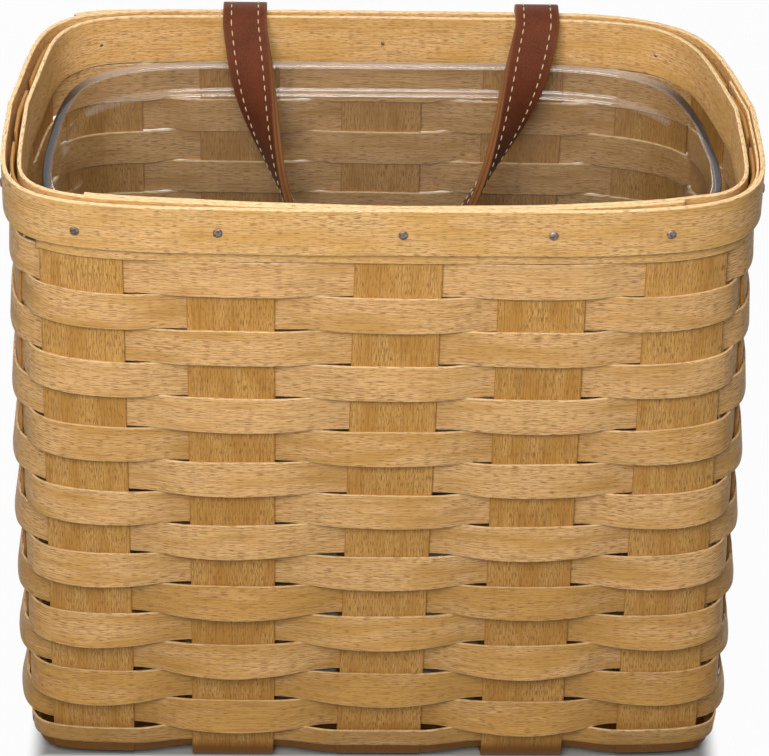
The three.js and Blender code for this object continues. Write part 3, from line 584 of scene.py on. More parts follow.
# %% Weave the sixteen hoops
weavers = []
for row in range(ROWS):
    rings, edge, around = weaver_rings(row)
    along = hoop_steps * RIM_GIRTH / STAKES + WEAVER_BOARD_STEP[0] * row
    piece = add_strip(f"weaver_hoop_{row + 1:02d}", rings, along,
                      around + WEAVER_BOARD_STEP[1] * row, edge, True, weaver_tones_and_shade[row])
    weavers.append(give(piece, weaver_maple, [f"weaver_row_{row + 1:02d}"],
                        "basket"))
print("weavers:", len(weavers), "each", len(weavers[0].data.polygons), "quads")

# %% [markdown]
# ## The stakes
# Each stake is one wide strip that comes down a wall, bends under, crosses the base and
# goes up the other wall. Under the base the stakes are woven through each other. The path
# has three parts, and the same cross-section is carried along all of them.

# %% Stake paths
FRONT_TOP_DROP, STAKE_TOP_DROP = 7.5, 3
LAST_ROW_BOTTOM_DROP = FIRST_ROW_DROP + (ROWS - 1) * ROW_PITCH + WEAVER_WIDTH - LAST_ROW_TRIM
CROSSING_FIT = 0.3
BASE_LOW_Z, BASE_LIFT = STAKE_THICKNESS / 2, STAKE_THICKNESS + CROSSING_FIT
CROSSING_REACH = STAKE_WIDTH / 2 + CROSSING_FIT
STAKE_CORNER, STAKE_FACE_POINTS = 0.26, 8
WALL_STATIONS, BEND_STATIONS, BASE_STATIONS = 69, 16, 90
STAKE_TONE_BY_HAND, STAKE_BOARD_STEP = (-0.08, 0.08), (211, 83)


def stake_wall(stake, across, out, lift):
    """Rings down one wall: across is measured to the right as seen from outside."""
    top = FRONT_TOP_DROP if STAKE_SIDES[stake] == FRONT else STAKE_TOP_DROP
    drops = np.concatenate([np.linspace(top, STRAIGHT_DROP, WALL_STATIONS, endpoint=False),
                            np.linspace(STRAIGHT_DROP, BEND_DROP, BEND_STATIONS)])[:, None]
    right, left = (spacing(stake + k, drops) for k in (0, -1))
    rings = on_wall(stake + across / np.where(across > 0, right, left), drops, out)
    rings[..., 2] += lift * smooth_step(drops, LAST_ROW_BOTTOM_DROP, BEND_DROP)
    return rings


def stake_base(start, end, middles, is_low, across, out, lengthwise):
    """Rings across the base: low or high at each crossing, with an even slope between them."""
    run = np.linspace(start, end, BASE_STATIONS)[1:-1]
    heights = np.where(is_low, BASE_LOW_Z, BASE_LOW_Z + BASE_LIFT)
    edges = np.stack([middles - CROSSING_REACH, middles + CROSSING_REACH], -1).ravel()
    z = np.interp(run, edges, np.repeat(heights, 2))[:, None] - out
    run, across = np.broadcast_arrays(run[:, None], across)
    return np.stack([run, across, z] if lengthwise else [across, run, z], -1)


# %% Bend the eight stakes
# Stakes are counted round from the front left: long stake i comes up at the back as 12 - i,
# and a cross stake goes from 15 - i on the left to 5 + i on the right.
stake_pieces = []
stake_plan = (
    [(f"long_stake_{i + 1}", i, 12 - i, LONG_STAKE_X[i], CROSS_STAKE_Y,
      (np.arange(3) + i) % 2 == 1, False) for i in range(5)]
    + [(f"cross_stake_{i + 1}", 15 - i, 5 + i, CROSS_STAKE_Y[i], LONG_STAKE_X,
        (np.arange(5) + i) % 2 == 0, True) for i in range(3)])
stake_tones = hand.uniform(*STAKE_TONE_BY_HAND, len(stake_plan))
across, out, mark = splint_section(STAKE_WIDTH, STAKE_THICKNESS, STAKE_CORNER, STAKE_FACE_POINTS)
for number, (node, first, second, middle, crossed, is_low, lengthwise) in enumerate(stake_plan):
    down = stake_wall(first, across, out, 0 if is_low[0] else BASE_LIFT)
    up = stake_wall(second, -across, out, 0 if is_low[-1] else BASE_LIFT)[::-1]
    run_axis, side = (0, -across) if lengthwise else (1, across)
    base = stake_base(down[-1, 0, run_axis], up[0, 0, run_axis], crossed, is_low,
                      middle + side, out, lengthwise)
    rings = np.concatenate([down, base, up])
    along = running_length(rings.mean(axis=1)) + STAKE_BOARD_STEP[0] * number
    around = section_run(across, out) + STAKE_BOARD_STEP[1] * number
    piece = add_strip(f"splint_{node}", rings, along, around, mark, False, stake_tones[number])
    stake_pieces.append(give(piece, stake_maple, [node], "basket"))
print("stakes:", [p.name for p in stake_pieces])

# %% [markdown]
# ## The rim
# Three strips clasp the stakes' tops: a thick outer band that laps over itself at the back
# left and ends in a slanted cut, a thin filler strip that shows below it along the front,
# and an inner band whose start laps over its own end all along the front. The start of the
# outer band is shaved to a scarf, so that its lap swells gently. Each strip stands on
# edge, so it is a strip like a weaver, with an offset that steps aside at the lap. In the
# middle of the front the inner band dips and is squeezed against the outer one.

# %% Rim sizes and the lap
OUTER_BAND_THICKNESS, OUTER_BAND_OUT = 1.6, 2.8
FILLER_THICKNESS, FILLER_OUT, FILLER_TOP, FILLER_BOTTOM = 0.9, 1.25, 1, 21
INNER_BAND_THICKNESS, INNER_BAND_OUT, INNER_BAND_HEIGHT = 1.4, -1.5, 18.5
STRIP_FIT, RIM_CORNER, RIM_FACE_POINTS = 0.3, 0.3, 5
RIM_LEVEL, RIM_WANDER, RIM_BOARD_STEP = 9.5, 0.16, (307, 71)
OUTER_LAP, INNER_LAP = (77, 110), (-100, 98)
LAP_STEP, LAP_CLEARANCE, SCARF, SCARF_THIN = 14, 2, 30, 0.06
OUTER_CUT_SLANT, INNER_CUT_SLANT, FILLER_CUT_SLANT, CUT_REACH = 4, 1.5, -2.5, 4
SQUEEZE_MIDDLE, SQUEEZE_REACH, SQUEEZE_DEPTH = 10, 105, 7
INNER_SQUEEZE, INNER_DIP, INNER_SAG = 1.3, 1.5, 1.3
SAG_X, SAG_Y = (96, 116), (-60, -30)


def rim_strip(name, node, start, end, top, bottom, thickness, out_at, slants, seed, stations,
              squeeze=0.0, dip=0.0, scarf=0.0, sag=0.0):
    """A strip on edge round the rim between two hoop numbers. out_at gives its offset from
    the distance run and the whole length; slants tilt its two cut ends, in mm at the top.
    squeeze and dip move the top edge out and down on a squared cosine along the front, sag
    moves the strip inward at the two sides, and scarf is the length shaved thin at the start."""
    height = bottom - top
    across, out, mark = splint_section(height, thickness, RIM_CORNER, RIM_FACE_POINTS)
    share = across / height + 0.5
    hoop = np.linspace(start, end, stations)
    x, y, _, _, place = chart_at(hoop, np.full(stations, RIM_LEVEL)).T[..., None]
    place = np.unwrap(place, period=RIM_GIRTH, axis=0)
    run = place - place[0]
    slant = np.where(run < run[-1] / 2, *slants) * (1 - share) ** 2
    near_cut = np.exp(-np.minimum(run, run[-1] - run) / CUT_REACH)
    shift = slant * near_cut / RIM_GIRTH * STAKES
    off_middle = np.clip((x - SQUEEZE_MIDDLE) / SQUEEZE_REACH, -1, 1)
    bump = np.where(y < 0, np.cos(off_middle * math.pi / 2) ** 2, 0)
    drop = np.maximum(top + height * share + hand_wander(hoop, seed, RIM_WANDER)[:, None], 0)
    lean = (squeeze * bump * np.clip(1 - drop / SQUEEZE_DEPTH, 0, 1)
            - sag * smooth_step(np.abs(x), *SAG_X) * smooth_step(y, *SAG_Y))
    thin = np.maximum(SCARF_THIN, smooth_step(run, 0, scarf)) if scarf else 1.0
    offset = out_at(run, run[-1]) + thin * out - (1 - thin) * thickness / 2 + lean
    rings = on_wall(hoop[:, None] + shift, drop + dip * bump * (1 - share), offset)
    along = place[:, 0] + RIM_BOARD_STEP[0] * seed
    around = section_run(across, out) + RIM_BOARD_STEP[1] * seed
    piece = add_strip(name, rings, along, around, mark, False)
    return give(piece, rim_maple, [node], "basket")


# %% Clasp the rim
outer_lap_length, inner_lap_length = OUTER_LAP[1] - OUTER_LAP[0], INNER_LAP[1] - INNER_LAP[0]
outer_band = rim_strip(
    "outer_rim_band", "rim_outer_band", hoop_at(BACK, OUTER_LAP[0], RIM_LEVEL),
    hoop_at(BACK, OUTER_LAP[1], RIM_LEVEL) + STAKES, 0, BAND_HEIGHT, OUTER_BAND_THICKNESS,
    lambda run, length: OUTER_BAND_OUT + (
        OUTER_BAND_THICKNESS * smooth_step(run - length + outer_lap_length, 0, SCARF)
        + STRIP_FIT * smooth_step(run - length + outer_lap_length, -LAP_STEP, 0)),
    (0, -OUTER_CUT_SLANT), seed=21, stations=900, scarf=SCARF)
filler_strip = rim_strip(
    "filler_rim_strip", "rim_filler_strip",
    hoop_at(FRONT, LONG_STAKE_X[0] - STAKE_WIDTH / 2, RIM_LEVEL),
    hoop_at(RIGHT, CROSS_STAKE_Y[2] - STAKE_WIDTH / 2, RIM_LEVEL), FILLER_TOP, FILLER_BOTTOM,
    FILLER_THICKNESS, lambda run, length: np.full(run.shape, FILLER_OUT),
    (FILLER_CUT_SLANT, 0), seed=22, stations=420)
inner_band = rim_strip(
    "inner_rim_band", "rim_inner_band", hoop_at(FRONT, INNER_LAP[0], RIM_LEVEL),
    hoop_at(FRONT, INNER_LAP[1], RIM_LEVEL) + STAKES, 0, INNER_BAND_HEIGHT, INNER_BAND_THICKNESS,
    lambda run, length: INNER_BAND_OUT - (INNER_BAND_THICKNESS + STRIP_FIT) * (
        1 - smooth_step(run - inner_lap_length - LAP_CLEARANCE, 0, LAP_STEP)),
    (INNER_CUT_SLANT, 0), seed=23, stations=1100,
    squeeze=INNER_SQUEEZE, dip=INNER_DIP, sag=INNER_SAG)
print("rim strips:", [len(p.data.polygons) for p in (outer_band, filler_strip, inner_band)])

# %% [markdown]
# ## The tacks
# Small steel tacks hold the bands to the stakes, and one tack holds each strap end. A tack
# is a turned shape: a low dome on a short shank. One profile turned round its axis makes
# it, and the same grid is set down at every place in one step.

# %% Worn steel
RUB_SIZE = 0.9 * MM


def worn_steel(name):
    """Blued steel gone brown: dark, half shiny, with lighter rubbed spots."""
    finish, tree = new_finish(name)
    place = add(tree, "TexCoord").outputs["Object"]
    rub = add(tree, "TexNoise", {"Vector": place, "Scale": 1 / RUB_SIZE, "Detail": 3})
    shade = add(tree, "MapRange", {"Value": rub, "From Min": 0.38, "From Max": 0.66})
    mixed = add(tree, "Mix", {0: shade, 6: colour("#5d4a41"), 7: colour("#9a8880")},
                data_type="RGBA")
    rough = add(tree, "MapRange", {"Value": rub, "To Min": 0.62, "To Max": 0.38})
    shader = add(tree, "BsdfPrincipled",
                 {"Base Color": mixed, "Metallic": 0.75, "Roughness": rough})
    add(tree, "OutputMaterial", {0: shader})
    return finish


tack_steel = worn_steel("browned_steel_tack")
print("tack finish:", tack_steel.name)

# %% Shape of a tack: radius and height of its profile, in millimetres
TACK_PROFILE = np.array([[0.04, -1.0], [0.6, -0.98], [0.7, -0.9], [0.7, -0.05], [1.5, -0.05],
                         [1.62, 0.12], [1.55, 0.34], [1.3, 0.5], [0.9, 0.6], [0.45, 0.64],
                         [0.04, 0.65]])
TACK_SIDES, SHANK_BELOW = 20, -0.5


def tack_heads(name, seats, outs, reach, nodes):
    """Tacks at seats, each pointing along its own out: r cos, r sin and height on two side
    ways and out. The shank is as long as its reach, so that its tip shows inside."""
    turn = np.arange(TACK_SIDES)[:, None] * 2 * np.pi / TACK_SIDES
    outs = unit(outs)[:, None, None]
    side = unit(np.cross(outs, [0.0, 0.0, 1.0]))
    ways = side * np.cos(turn) + np.cross(side, outs) * np.sin(turn)
    radius, height = TACK_PROFILE.T
    height = height * np.where(height < SHANK_BELOW, reach[:, None], 1)
    points = (seats[:, None, None] + ways * radius[:, None, None]
              + outs * height[:, :, None, None])
    quads = strip_quads(len(TACK_PROFILE), TACK_SIDES, False, len(seats))
    tacks = add_mesh(name, points.reshape(-1, 3), quads)
    return give(tacks, tack_steel, nodes, "basket")


# %% Set the band tacks
TACK_DROP, TIP_SHOWS, LAP_TACK_INSET = 10.2, 0.35, 10
FRONT_TACK_PLACES = (-100, -54, 6, 54.7, 92.8)
FRONT_TACK_DROPS = (10.6, 8.9, 9.1, 9.1, 9.6)
LAP_TACK_FACE = RIM_INSET + OUTER_BAND_THICKNESS + STRIP_FIT
tack_plan = (
    [(f"tack_front_{i + 1}", FRONT, along, RIM_INSET)
     for i, along in enumerate(FRONT_TACK_PLACES)]
    + [("tack_back_1", BACK, OUTER_LAP[1] - LAP_TACK_INSET, LAP_TACK_FACE),
       ("tack_back_3", BACK, -LONG_STAKE_X[2], RIM_INSET),
       ("tack_back_5", BACK, -LONG_STAKE_X[4], RIM_INSET)]
    + [(f"tack_{name}_{number}", side, sign * CROSS_STAKE_PITCH, RIM_INSET)
       for name, side, number, sign in (("left", LEFT, 1, 1), ("left", LEFT, 3, -1),
                                        ("right", RIGHT, 1, -1), ("right", RIGHT, 3, 1))])
tack_hoops = np.array([hoop_at(side, along, TACK_DROP) for _, side, along, _ in tack_plan])
tack_faces = np.array([face for *_, face in tack_plan])
tack_drops = np.full(len(tack_plan), TACK_DROP)
tack_drops[:len(FRONT_TACK_DROPS)] = FRONT_TACK_DROPS
tack_seats = on_wall(tack_hoops, tack_drops, tack_faces)
tip_depth = INNER_BAND_THICKNESS / 2 - INNER_BAND_OUT + TIP_SHOWS
tack_heads("band_tacks", tack_seats, tack_seats - on_wall(tack_hoops, tack_drops, 0),
           tack_faces + tip_depth, [node for node, *_ in tack_plan])
print("band tacks:", len(tack_plan))

# %% [markdown]
# ## The strap
# One strap of two leather layers sewn together: a tack holds each end outside the back of
# the rim, it folds over the rim and hangs inside in a loop that twists by a quarter turn.
# The path is a list of points in order; its width way turns as it goes.

# %% Left half of the strap's path
STRAP_WIDTH, STRAP_THICKNESS = 15.5, 3.0
STRAP_SPREAD, STRAP_SHIFT = 52, 4
TAB_Y, LEG_Y = 72.3, 60.6
TAB_BOTTOM_Z, FOLD_Z, FOLD_CORNER, FOLD_TURN = 197.0, 232.6, 3.1, 5.4
LOOP_TOP_Z, LOOP_DROP, LEG_TOP_Z = 234.5, 99.0, 230.0
LOOP_LOW_Z = LOOP_TOP_Z - LOOP_DROP
LOOP_FALL_POWER, LOOP_WIDTH_POWER, LOOP_SKEW = 2, 0.87, 5.2
LOOP_FORWARD, LOOP_FORWARD_POWER = 19.0, 5.2
TWIST_START, TWIST_MOST, TWIST_END = (math.radians(v) for v in (10, 60, 90))
TWIST_SHARE = 82 / 90
TAB_STEPS, BACK_FOLD_STEPS, FRONT_FOLD_STEPS, LOOP_STEPS = 39, 16, 30, 200


def strap_half(skew):
    """Left half of the strap: straight up the back, two arcs over the rim, then the loop
    z = top - drop * sin(angle)^2, x = shift - spread * cos(angle)^0.87, coming forward as it
    falls and moved aside by skew. Returns points and the angle by which its width has turned."""
    start = math.asin(((LOOP_TOP_Z - LEG_TOP_Z) / LOOP_DROP) ** (1 / LOOP_FALL_POWER))
    angle = np.linspace(start, math.pi / 2, LOOP_STEPS)
    loop_z = LOOP_TOP_Z - LOOP_DROP * np.sin(angle) ** LOOP_FALL_POWER
    upness = np.clip((loop_z - LOOP_LOW_Z) / (LEG_TOP_Z - LOOP_LOW_Z), 0, 1)
    loop_y = LEG_Y - LOOP_FORWARD * (1 - upness ** LOOP_FORWARD_POWER)
    width = np.maximum(np.cos(angle) / math.cos(start), 0) ** LOOP_WIDTH_POWER
    loop_x = STRAP_SHIFT - STRAP_SPREAD * width - skew * (1 - upness)
    slope = LOOP_FORWARD * LOOP_FORWARD_POWER / (LEG_TOP_Z - LOOP_LOW_Z)
    tab_end, fold_start = (TAB_Y, FOLD_Z - FOLD_CORNER), (TAB_Y - FOLD_CORNER, FOLD_Z)
    tab_z = np.linspace(TAB_BOTTOM_Z, tab_end[1], TAB_STEPS, endpoint=False)
    tab = np.stack([np.full(TAB_STEPS, TAB_Y), tab_z], -1)
    back_fold = arc(tab_end, (TAB_Y, FOLD_Z), fold_start, BACK_FOLD_STEPS)
    fold_corner = (LEG_Y + (FOLD_Z - LEG_TOP_Z) * slope, FOLD_Z)
    front_fold = arc((TAB_Y - FOLD_TURN, FOLD_Z), fold_corner, (LEG_Y, LEG_TOP_Z),
                     FRONT_FOLD_STEPS)[:-1]
    top = np.concatenate([tab, back_fold, front_fold])
    top = np.column_stack([np.full(len(top), loop_x[0]), top])
    points = np.concatenate([top, np.stack([loop_x, loop_y, loop_z], -1)])
    twist = (TWIST_SHARE * smooth_step(angle, TWIST_START, TWIST_MOST)
             + (1 - TWIST_SHARE) * smooth_step(angle, TWIST_MOST, TWIST_END)) * math.pi / 2
    return points, np.concatenate([np.zeros(len(top)), twist])


# %% The whole path and its width way
STRAP_STATIONS, LINE_SMOOTHING, WAY_SMOOTHING = 520, 2, 6


def smoothed(values, reach):
    """Running mean along the path, with the ends held."""
    padded = np.pad(values, ((reach, reach), (0, 0)), mode="edge")
    total = np.cumsum(np.concatenate([np.zeros_like(padded[:1]), padded]), axis=0)
    return (total[2 * reach + 1:] - total[:-2 * reach - 1]) / (2 * reach + 1)


def read_along(run, stations, values):
    """Each column of values read at the distances run."""
    return np.stack([np.interp(run, stations, column) for column in values.T], -1)


left_points, half_twist = strap_half(LOOP_SKEW)
mirrored, _ = strap_half(-LOOP_SKEW)
mirror = np.array([-1, 1, 1])
right_points = mirrored * mirror + np.array([2 * STRAP_SHIFT, 0, 0])
strap_points = np.concatenate([left_points, right_points[-2::-1]])
half_width_way = np.stack([np.cos(half_twist), -np.sin(half_twist), 0 * half_twist], -1)
strap_width_way = np.concatenate([half_width_way, (half_width_way * mirror)[-2::-1]])
strap_run = running_length(strap_points)
strap_stations = np.linspace(0, strap_run[-1], STRAP_STATIONS)
strap_line = smoothed(read_along(strap_stations, strap_run, strap_points), LINE_SMOOTHING)
strap_ways = smoothed(read_along(strap_stations, strap_run, strap_width_way), WAY_SMOOTHING)
print("strap length:", round(float(strap_run[-1]), 1), "mm")

# %% Strap section and frames along the path
STRAP_CORNER, STRAP_FACE_POINTS = 0.55, 7


def strap_frames(run):
    """Middle, width way and face way of the strap at distances along it."""
    tangent = np.gradient(strap_line, strap_stations, axis=0)
    middle, tangent, width = (read_along(run, strap_stations, values)
                              for values in (strap_line, tangent, strap_ways))
    tangent = unit(tangent)
    width = unit(width - tangent * np.sum(width * tangent, -1, keepdims=True))
    return middle, width, np.cross(tangent, width)


def strap_section():
    """Two layers sewn face to face: rounded outer corners and a fine groove along each edge,
    as points in mm in from the edge and up from the seam between the layers."""
    thick, corner = STRAP_THICKNESS / 2, STRAP_CORNER
    edge_in = np.array([0.28, 0.05, 0, 0.03, 0.16, corner, 2 * corner])
    edge_up = np.array([0.06, 0.2, thick - corner, thick - 0.28, thick - 0.1, thick, thick])
    edge_mark = np.array([0.4, 1, 1, 0.9, 0.5, 0.15, 0])
    return closed_section(edge_in, edge_up, edge_mark, STRAP_WIDTH, STRAP_THICKNESS,
                          STRAP_FACE_POINTS)


# %% [markdown]
# ## Leather and thread
# The strap is brown oiled split leather: matt, slightly mottled, with a fine nap and pale
# raw edges. The thread is waxed cotton, cream, with a faint twist. Both read Object
# coordinates or the strap's own map, so nothing slides when the strap moves.

# %% Leather and thread finishes
MOTTLE_SIZE, NAP_SIZE, LAY_SIZE = 7 * MM, 0.55 * MM, 0.5 * MM


def oiled_leather(name):
    """Brown oiled leather: mottling over 7 mm, nap over 0.5 mm, rubbed pale at the raw edge."""
    finish, tree = new_finish(name)
    place = add(tree, "UVMap", uv_map="grain")
    mottle = add(tree, "TexNoise", {"Vector": place, "Scale": 1 / MOTTLE_SIZE, "Detail": 4})
    nap = add(tree, "TexNoise",
              {"Vector": place, "Scale": 1 / NAP_SIZE, "Detail": 3, "Roughness": 0.7})
    tone = add(tree, "MapRange", {"Value": mottle, "From Min": 0.3, "From Max": 0.7})
    fuzz = add(tree, "MapRange", {"Value": nap, "From Min": 0.4, "From Max": 0.66, "To Max": 0.6})
    edges = add(tree, "Attribute", attribute_name="cut_edge").outputs["Fac"]
    mixed = colour("#4a1f0e")
    for share, shade in ((tone, "#5c2b16"), (fuzz, "#723d20"), (edges, "#80532d")):
        mixed = add(tree, "Mix", {0: share, 6: mixed, 7: colour(shade)}, data_type="RGBA")
    bump = add(tree, "Bump", {"Strength": 0.4, "Distance": 0.15 * MM, "Height": nap})
    shader = add(tree, "BsdfPrincipled",
                 {"Base Color": mixed, "Roughness": 0.75, "Normal": bump,
                  "Specular IOR Level": 0.18, "Sheen Weight": 0.03, "Sheen Roughness": 0.4})
    add(tree, "OutputMaterial", {0: shader})
    return finish


def waxed_thread(name):
    """Cream waxed cotton: slightly shiny, darker in the lay of its twist."""
    finish, tree = new_finish(name)
    place = add(tree, "TexCoord").outputs["Object"]
    lay = add(tree, "TexNoise", {"Vector": place, "Scale": 1 / LAY_SIZE, "Detail": 2})
    mixed = add(tree, "Mix", {0: lay, 6: colour("#dfc9a4"), 7: colour("#b8986c")},
                data_type="RGBA")
    shader = add(tree, "BsdfPrincipled", {"Base Color": mixed, "Roughness": 0.6})
    add(tree, "OutputMaterial", {0: shader})
    return finish


strap_leather = oiled_leather("brown_oiled_leather")
strap_thread = waxed_thread("waxed_cotton_thread")
print("strap finishes:", strap_leather.name, strap_thread.name)

# %% Hang the strap
across, out, mark = strap_section()
middle, width, face = strap_frames(strap_stations)
rings = middle[:, None] + width[:, None] * across[:, None] + face[:, None] * out[:, None]
strap = add_strip("leather_strap", rings, strap_stations, section_run(across, out), mark, False)
give(strap, strap_leather, ["strap_loop", "strap_tab_left", "strap_tab_right"],
     None)
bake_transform(strap)
print("strap:", len(strap.data.polygons), "quads")

# %% Sew the stitches
STITCH_INSET, STITCH_PITCH, STITCH_LENGTH, FIRST_STITCH = 3.0, 3.4, 2.2, 4
THREAD_RADIUS, STITCH_POINTS, STITCH_END, STITCH_PROUD, STITCH_DIP = 0.23, 6, 0.12, 0.12, 0.26
stitch_count = int((strap_run[-1] - 2 * FIRST_STITCH) / STITCH_PITCH)
stitch_runs = FIRST_STITCH + (np.arange(stitch_count) + 0.5) * STITCH_PITCH
stitch_along = np.linspace(-1, 1, STITCH_POINTS)
stitch_turn = np.arange(STITCH_POINTS)[:, None] * 2 * np.pi / STITCH_POINTS
stitch_radius = THREAD_RADIUS * np.sqrt(np.maximum(STITCH_END, 1 - stitch_along ** 2))


def stitch_row(across, facing):
    """Stitches in one row on one face: a short tube that is thickest and highest in its
    middle and dips into the leather at both ends."""
    run = stitch_runs[:, None] + stitch_along * STITCH_LENGTH / 2
    middle, width, face = strap_frames(run)
    height = STRAP_THICKNESS / 2 + STITCH_PROUD - STITCH_DIP * stitch_along ** 4
    core = middle + width * across + face * (facing * height)[:, None]
    ring = width[:, :, None] * np.cos(stitch_turn) + face[:, :, None] * np.sin(stitch_turn)
    return (core[:, :, None] + ring * stitch_radius[:, None, None]).reshape(-1, 3)


stitch_across = STRAP_WIDTH / 2 - STITCH_INSET
stitch_points = np.concatenate([stitch_row(side * stitch_across, facing)
                                for side in (-1, 1) for facing in (-1, 1)])
stitches = add_mesh("strap_stitches", stitch_points,
                    strip_quads(STITCH_POINTS, STITCH_POINTS, False, 4 * stitch_count))
give(stitches, strap_thread, [], None)
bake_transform(stitches)
print("stitches:", 4 * stitch_count)

# %% Tack the strap ends
STRAP_TACK_Z, STRAP_TACK_REACH = 219.0, 2.8
strap_tack_seats = np.array(
    [[STRAP_SHIFT + side * STRAP_SPREAD, TAB_Y + STRAP_THICKNESS / 2, STRAP_TACK_Z]
     for side in (-1, 1)])
tack_heads("strap_tacks", strap_tack_seats, np.array([[0.0, 1, 0], [0, 1, 0]]),
           np.full(2, STRAP_TACK_REACH), ["strap_tack_left", "strap_tack_right"])
print("strap tacks:", len(strap_tack_seats))

# %% [markdown]
# ## The liner
# A rigid clear plastic tub hangs in the basket and lifts out. It is vacuum formed: thin
# walls with a slight draft, a shoulder below the collar, and a turned-out lip. Its profile
# is a list of insets and heights with rounded corners, carried round a superellipse.

# %% Liner profile and shape
LINER_HALF_WIDTH, LINER_HALF_DEPTH, LINER_MIDDLE_Y = 114.6, 57.1, 1.5
LINER_ROUNDNESS, LINER_POINTS, CORNER_CROWDING = 5.2, 240, 0.18
LINER_NARROWING = {"right": 12, "left": 7.5}
LINER_TOP_Z, LINER_FLOOR_Z, LINER_WALL = 216.5, 2.6, 1.2
LIP_UNDERSIDE_Z, COLLAR_Z, SHOULDER_Z = 215.1, 207.0, 205.0
FLOOR_MIDDLE, FOOT_INSET, SHOULDER_INSET, COLLAR_INSET, LIP_INSET = 55, 7.0, 4.0, 2.2, 2.1
LINER_RADII = (5, 0.6, 0.6, 0.6, 0.5, 0.5, 0.8, 0.6, 0.6, 4)
ARC_STEPS, LONGEST_CUT = 7, 0.49


def rounded_corners(corners, radii):
    """A polyline with each inner corner replaced by a quadratic arc of about that radius."""
    before, at, after = corners[:-2], corners[1:-1], corners[2:]
    start, end = (at + (to - at) * np.minimum(
        radii[:, None] / np.linalg.norm(to - at, axis=-1, keepdims=True), LONGEST_CUT)
        for to in (before, after))
    arcs = arc(start[:, None], at[:, None], end[:, None], ARC_STEPS)
    return np.concatenate([corners[:1], arcs.reshape(-1, 2), corners[-1:]])


outer_corners = [[FLOOR_MIDDLE, LINER_FLOOR_Z], [FOOT_INSET, LINER_FLOOR_Z],
                 [SHOULDER_INSET, SHOULDER_Z], [COLLAR_INSET, COLLAR_Z],
                 [COLLAR_INSET, LIP_UNDERSIDE_Z], [0, LIP_UNDERSIDE_Z], [0, LINER_TOP_Z]]
inner_corners = [[COLLAR_INSET + LINER_WALL, LINER_TOP_Z], [COLLAR_INSET + LINER_WALL, COLLAR_Z],
                 [SHOULDER_INSET + LINER_WALL, SHOULDER_Z],
                 [FOOT_INSET + LINER_WALL, LINER_FLOOR_Z + LINER_WALL],
                 [FLOOR_MIDDLE, LINER_FLOOR_Z + LINER_WALL]]
LINER_PROFILE = rounded_corners(np.array(outer_corners + inner_corners), np.array(LINER_RADII))


def liner_rings(profile):
    """Superellipse rings: each half size is reduced by the profile's inset, at its height, and
    the width is drawn in towards the back like the rim."""
    turn = (np.arange(LINER_POINTS) + 0.5) * 2 * np.pi / LINER_POINTS
    even = turn + CORNER_CROWDING * np.sin(4 * turn)
    x = signed_power(np.cos(even), 2 / LINER_ROUNDNESS)
    y = signed_power(np.sin(even), 2 / LINER_ROUNDNESS)
    inset, z = profile[:, :1], profile[:, 1:]
    drawn = np.where(x > 0, LINER_NARROWING["right"], LINER_NARROWING["left"]) * np.maximum(0, y)
    return np.stack([(LINER_HALF_WIDTH - inset - drawn) * x,
                     LINER_MIDDLE_Y + (LINER_HALF_DEPTH - inset) * y, z + 0 * x], -1)


# %% [markdown]
# ## Clear plastic
# The liner is clear formed sheet. A solid with refraction needs many bounces and casts a
# full shadow in a path tracer, so the sheet is treated as thin: it lets light straight
# through, mirrors by the Fresnel law of its index, and has a trace of haze. Its lip has
# painted light: a painted blue-grey shade at the sides, where one looks along the sheet,
# and a pale painted highlight at the back.

# %% Clear plastic finish and the liner
PLASTIC_INDEX, WAVE_SIZE = 1.49, 22 * MM


def clear_plastic(name):
    """Clear formed sheet: nearly smooth, faintly wavy, with a trace of haze; its cut lip is
    painted with a blue-grey shade at the sides and a pale highlight at the back.
    """
    finish, tree = new_finish(name)
    place = add(tree, "TexCoord").outputs["Object"]
    wave = add(tree, "TexNoise", {"Vector": place, "Scale": 1 / WAVE_SIZE, "Detail": 1})
    bump = add(tree, "Bump", {"Strength": 0.25, "Distance": 0.6 * MM, "Height": wave})
    lip = add(tree, "Attribute", attribute_name="cut_edge").outputs["Fac"]
    depth = add(tree, "SeparateXYZ", {0: place}).outputs["Y"]
    at_back = add(tree, "MapRange", {"Value": depth, "From Min": 0.03, "From Max": 0.055},
                  interpolation_type="SMOOTHSTEP")
    # The lip's colour is painted light by place: a dark blue-grey painted shade at the sides and
    # a pale painted highlight at the back.
    lip_shade_and_highlight = add(tree, "Mix", {0: at_back, 6: colour("#3f3e46"), 7: colour("#f0e4da")},
                    data_type="RGBA")
    lip_shade_tint = add(tree, "Mix", {0: at_back, 6: colour("#7d7c86"), 7: colour("#f0ebe6")},
                   data_type="RGBA")
    tint = add(tree, "Mix", {0: lip, 6: colour("#f6f6f4"), 7: lip_shade_tint}, data_type="RGBA")
    haze_and_lip_light_share = add(tree, "MapRange", {"Value": lip, "To Min": 0.03, "To Max": 0.3})
    clear = add(tree, "BsdfTransparent", {"Color": tint})
    haze_and_lip_light = add(tree, "BsdfDiffuse", {"Color": lip_shade_and_highlight})
    through = add(tree, "MixShader", {0: haze_and_lip_light_share, 1: clear, 2: haze_and_lip_light})
    shine = add(tree, "BsdfGlossy", {"Color": (1, 1, 1, 1), "Roughness": 0.03, "Normal": bump})
    inside = add(tree, "NewGeometry").outputs["Backfacing"]
    index = add(tree, "MapRange",
                {"Value": inside, "To Min": PLASTIC_INDEX, "To Max": 1 / PLASTIC_INDEX})
    mirror_share = add(tree, "Fresnel", {"IOR": index, "Normal": bump})
    both = add(tree, "MixShader", {0: mirror_share, 1: through, 2: shine})
    add(tree, "OutputMaterial", {0: both})
    return finish


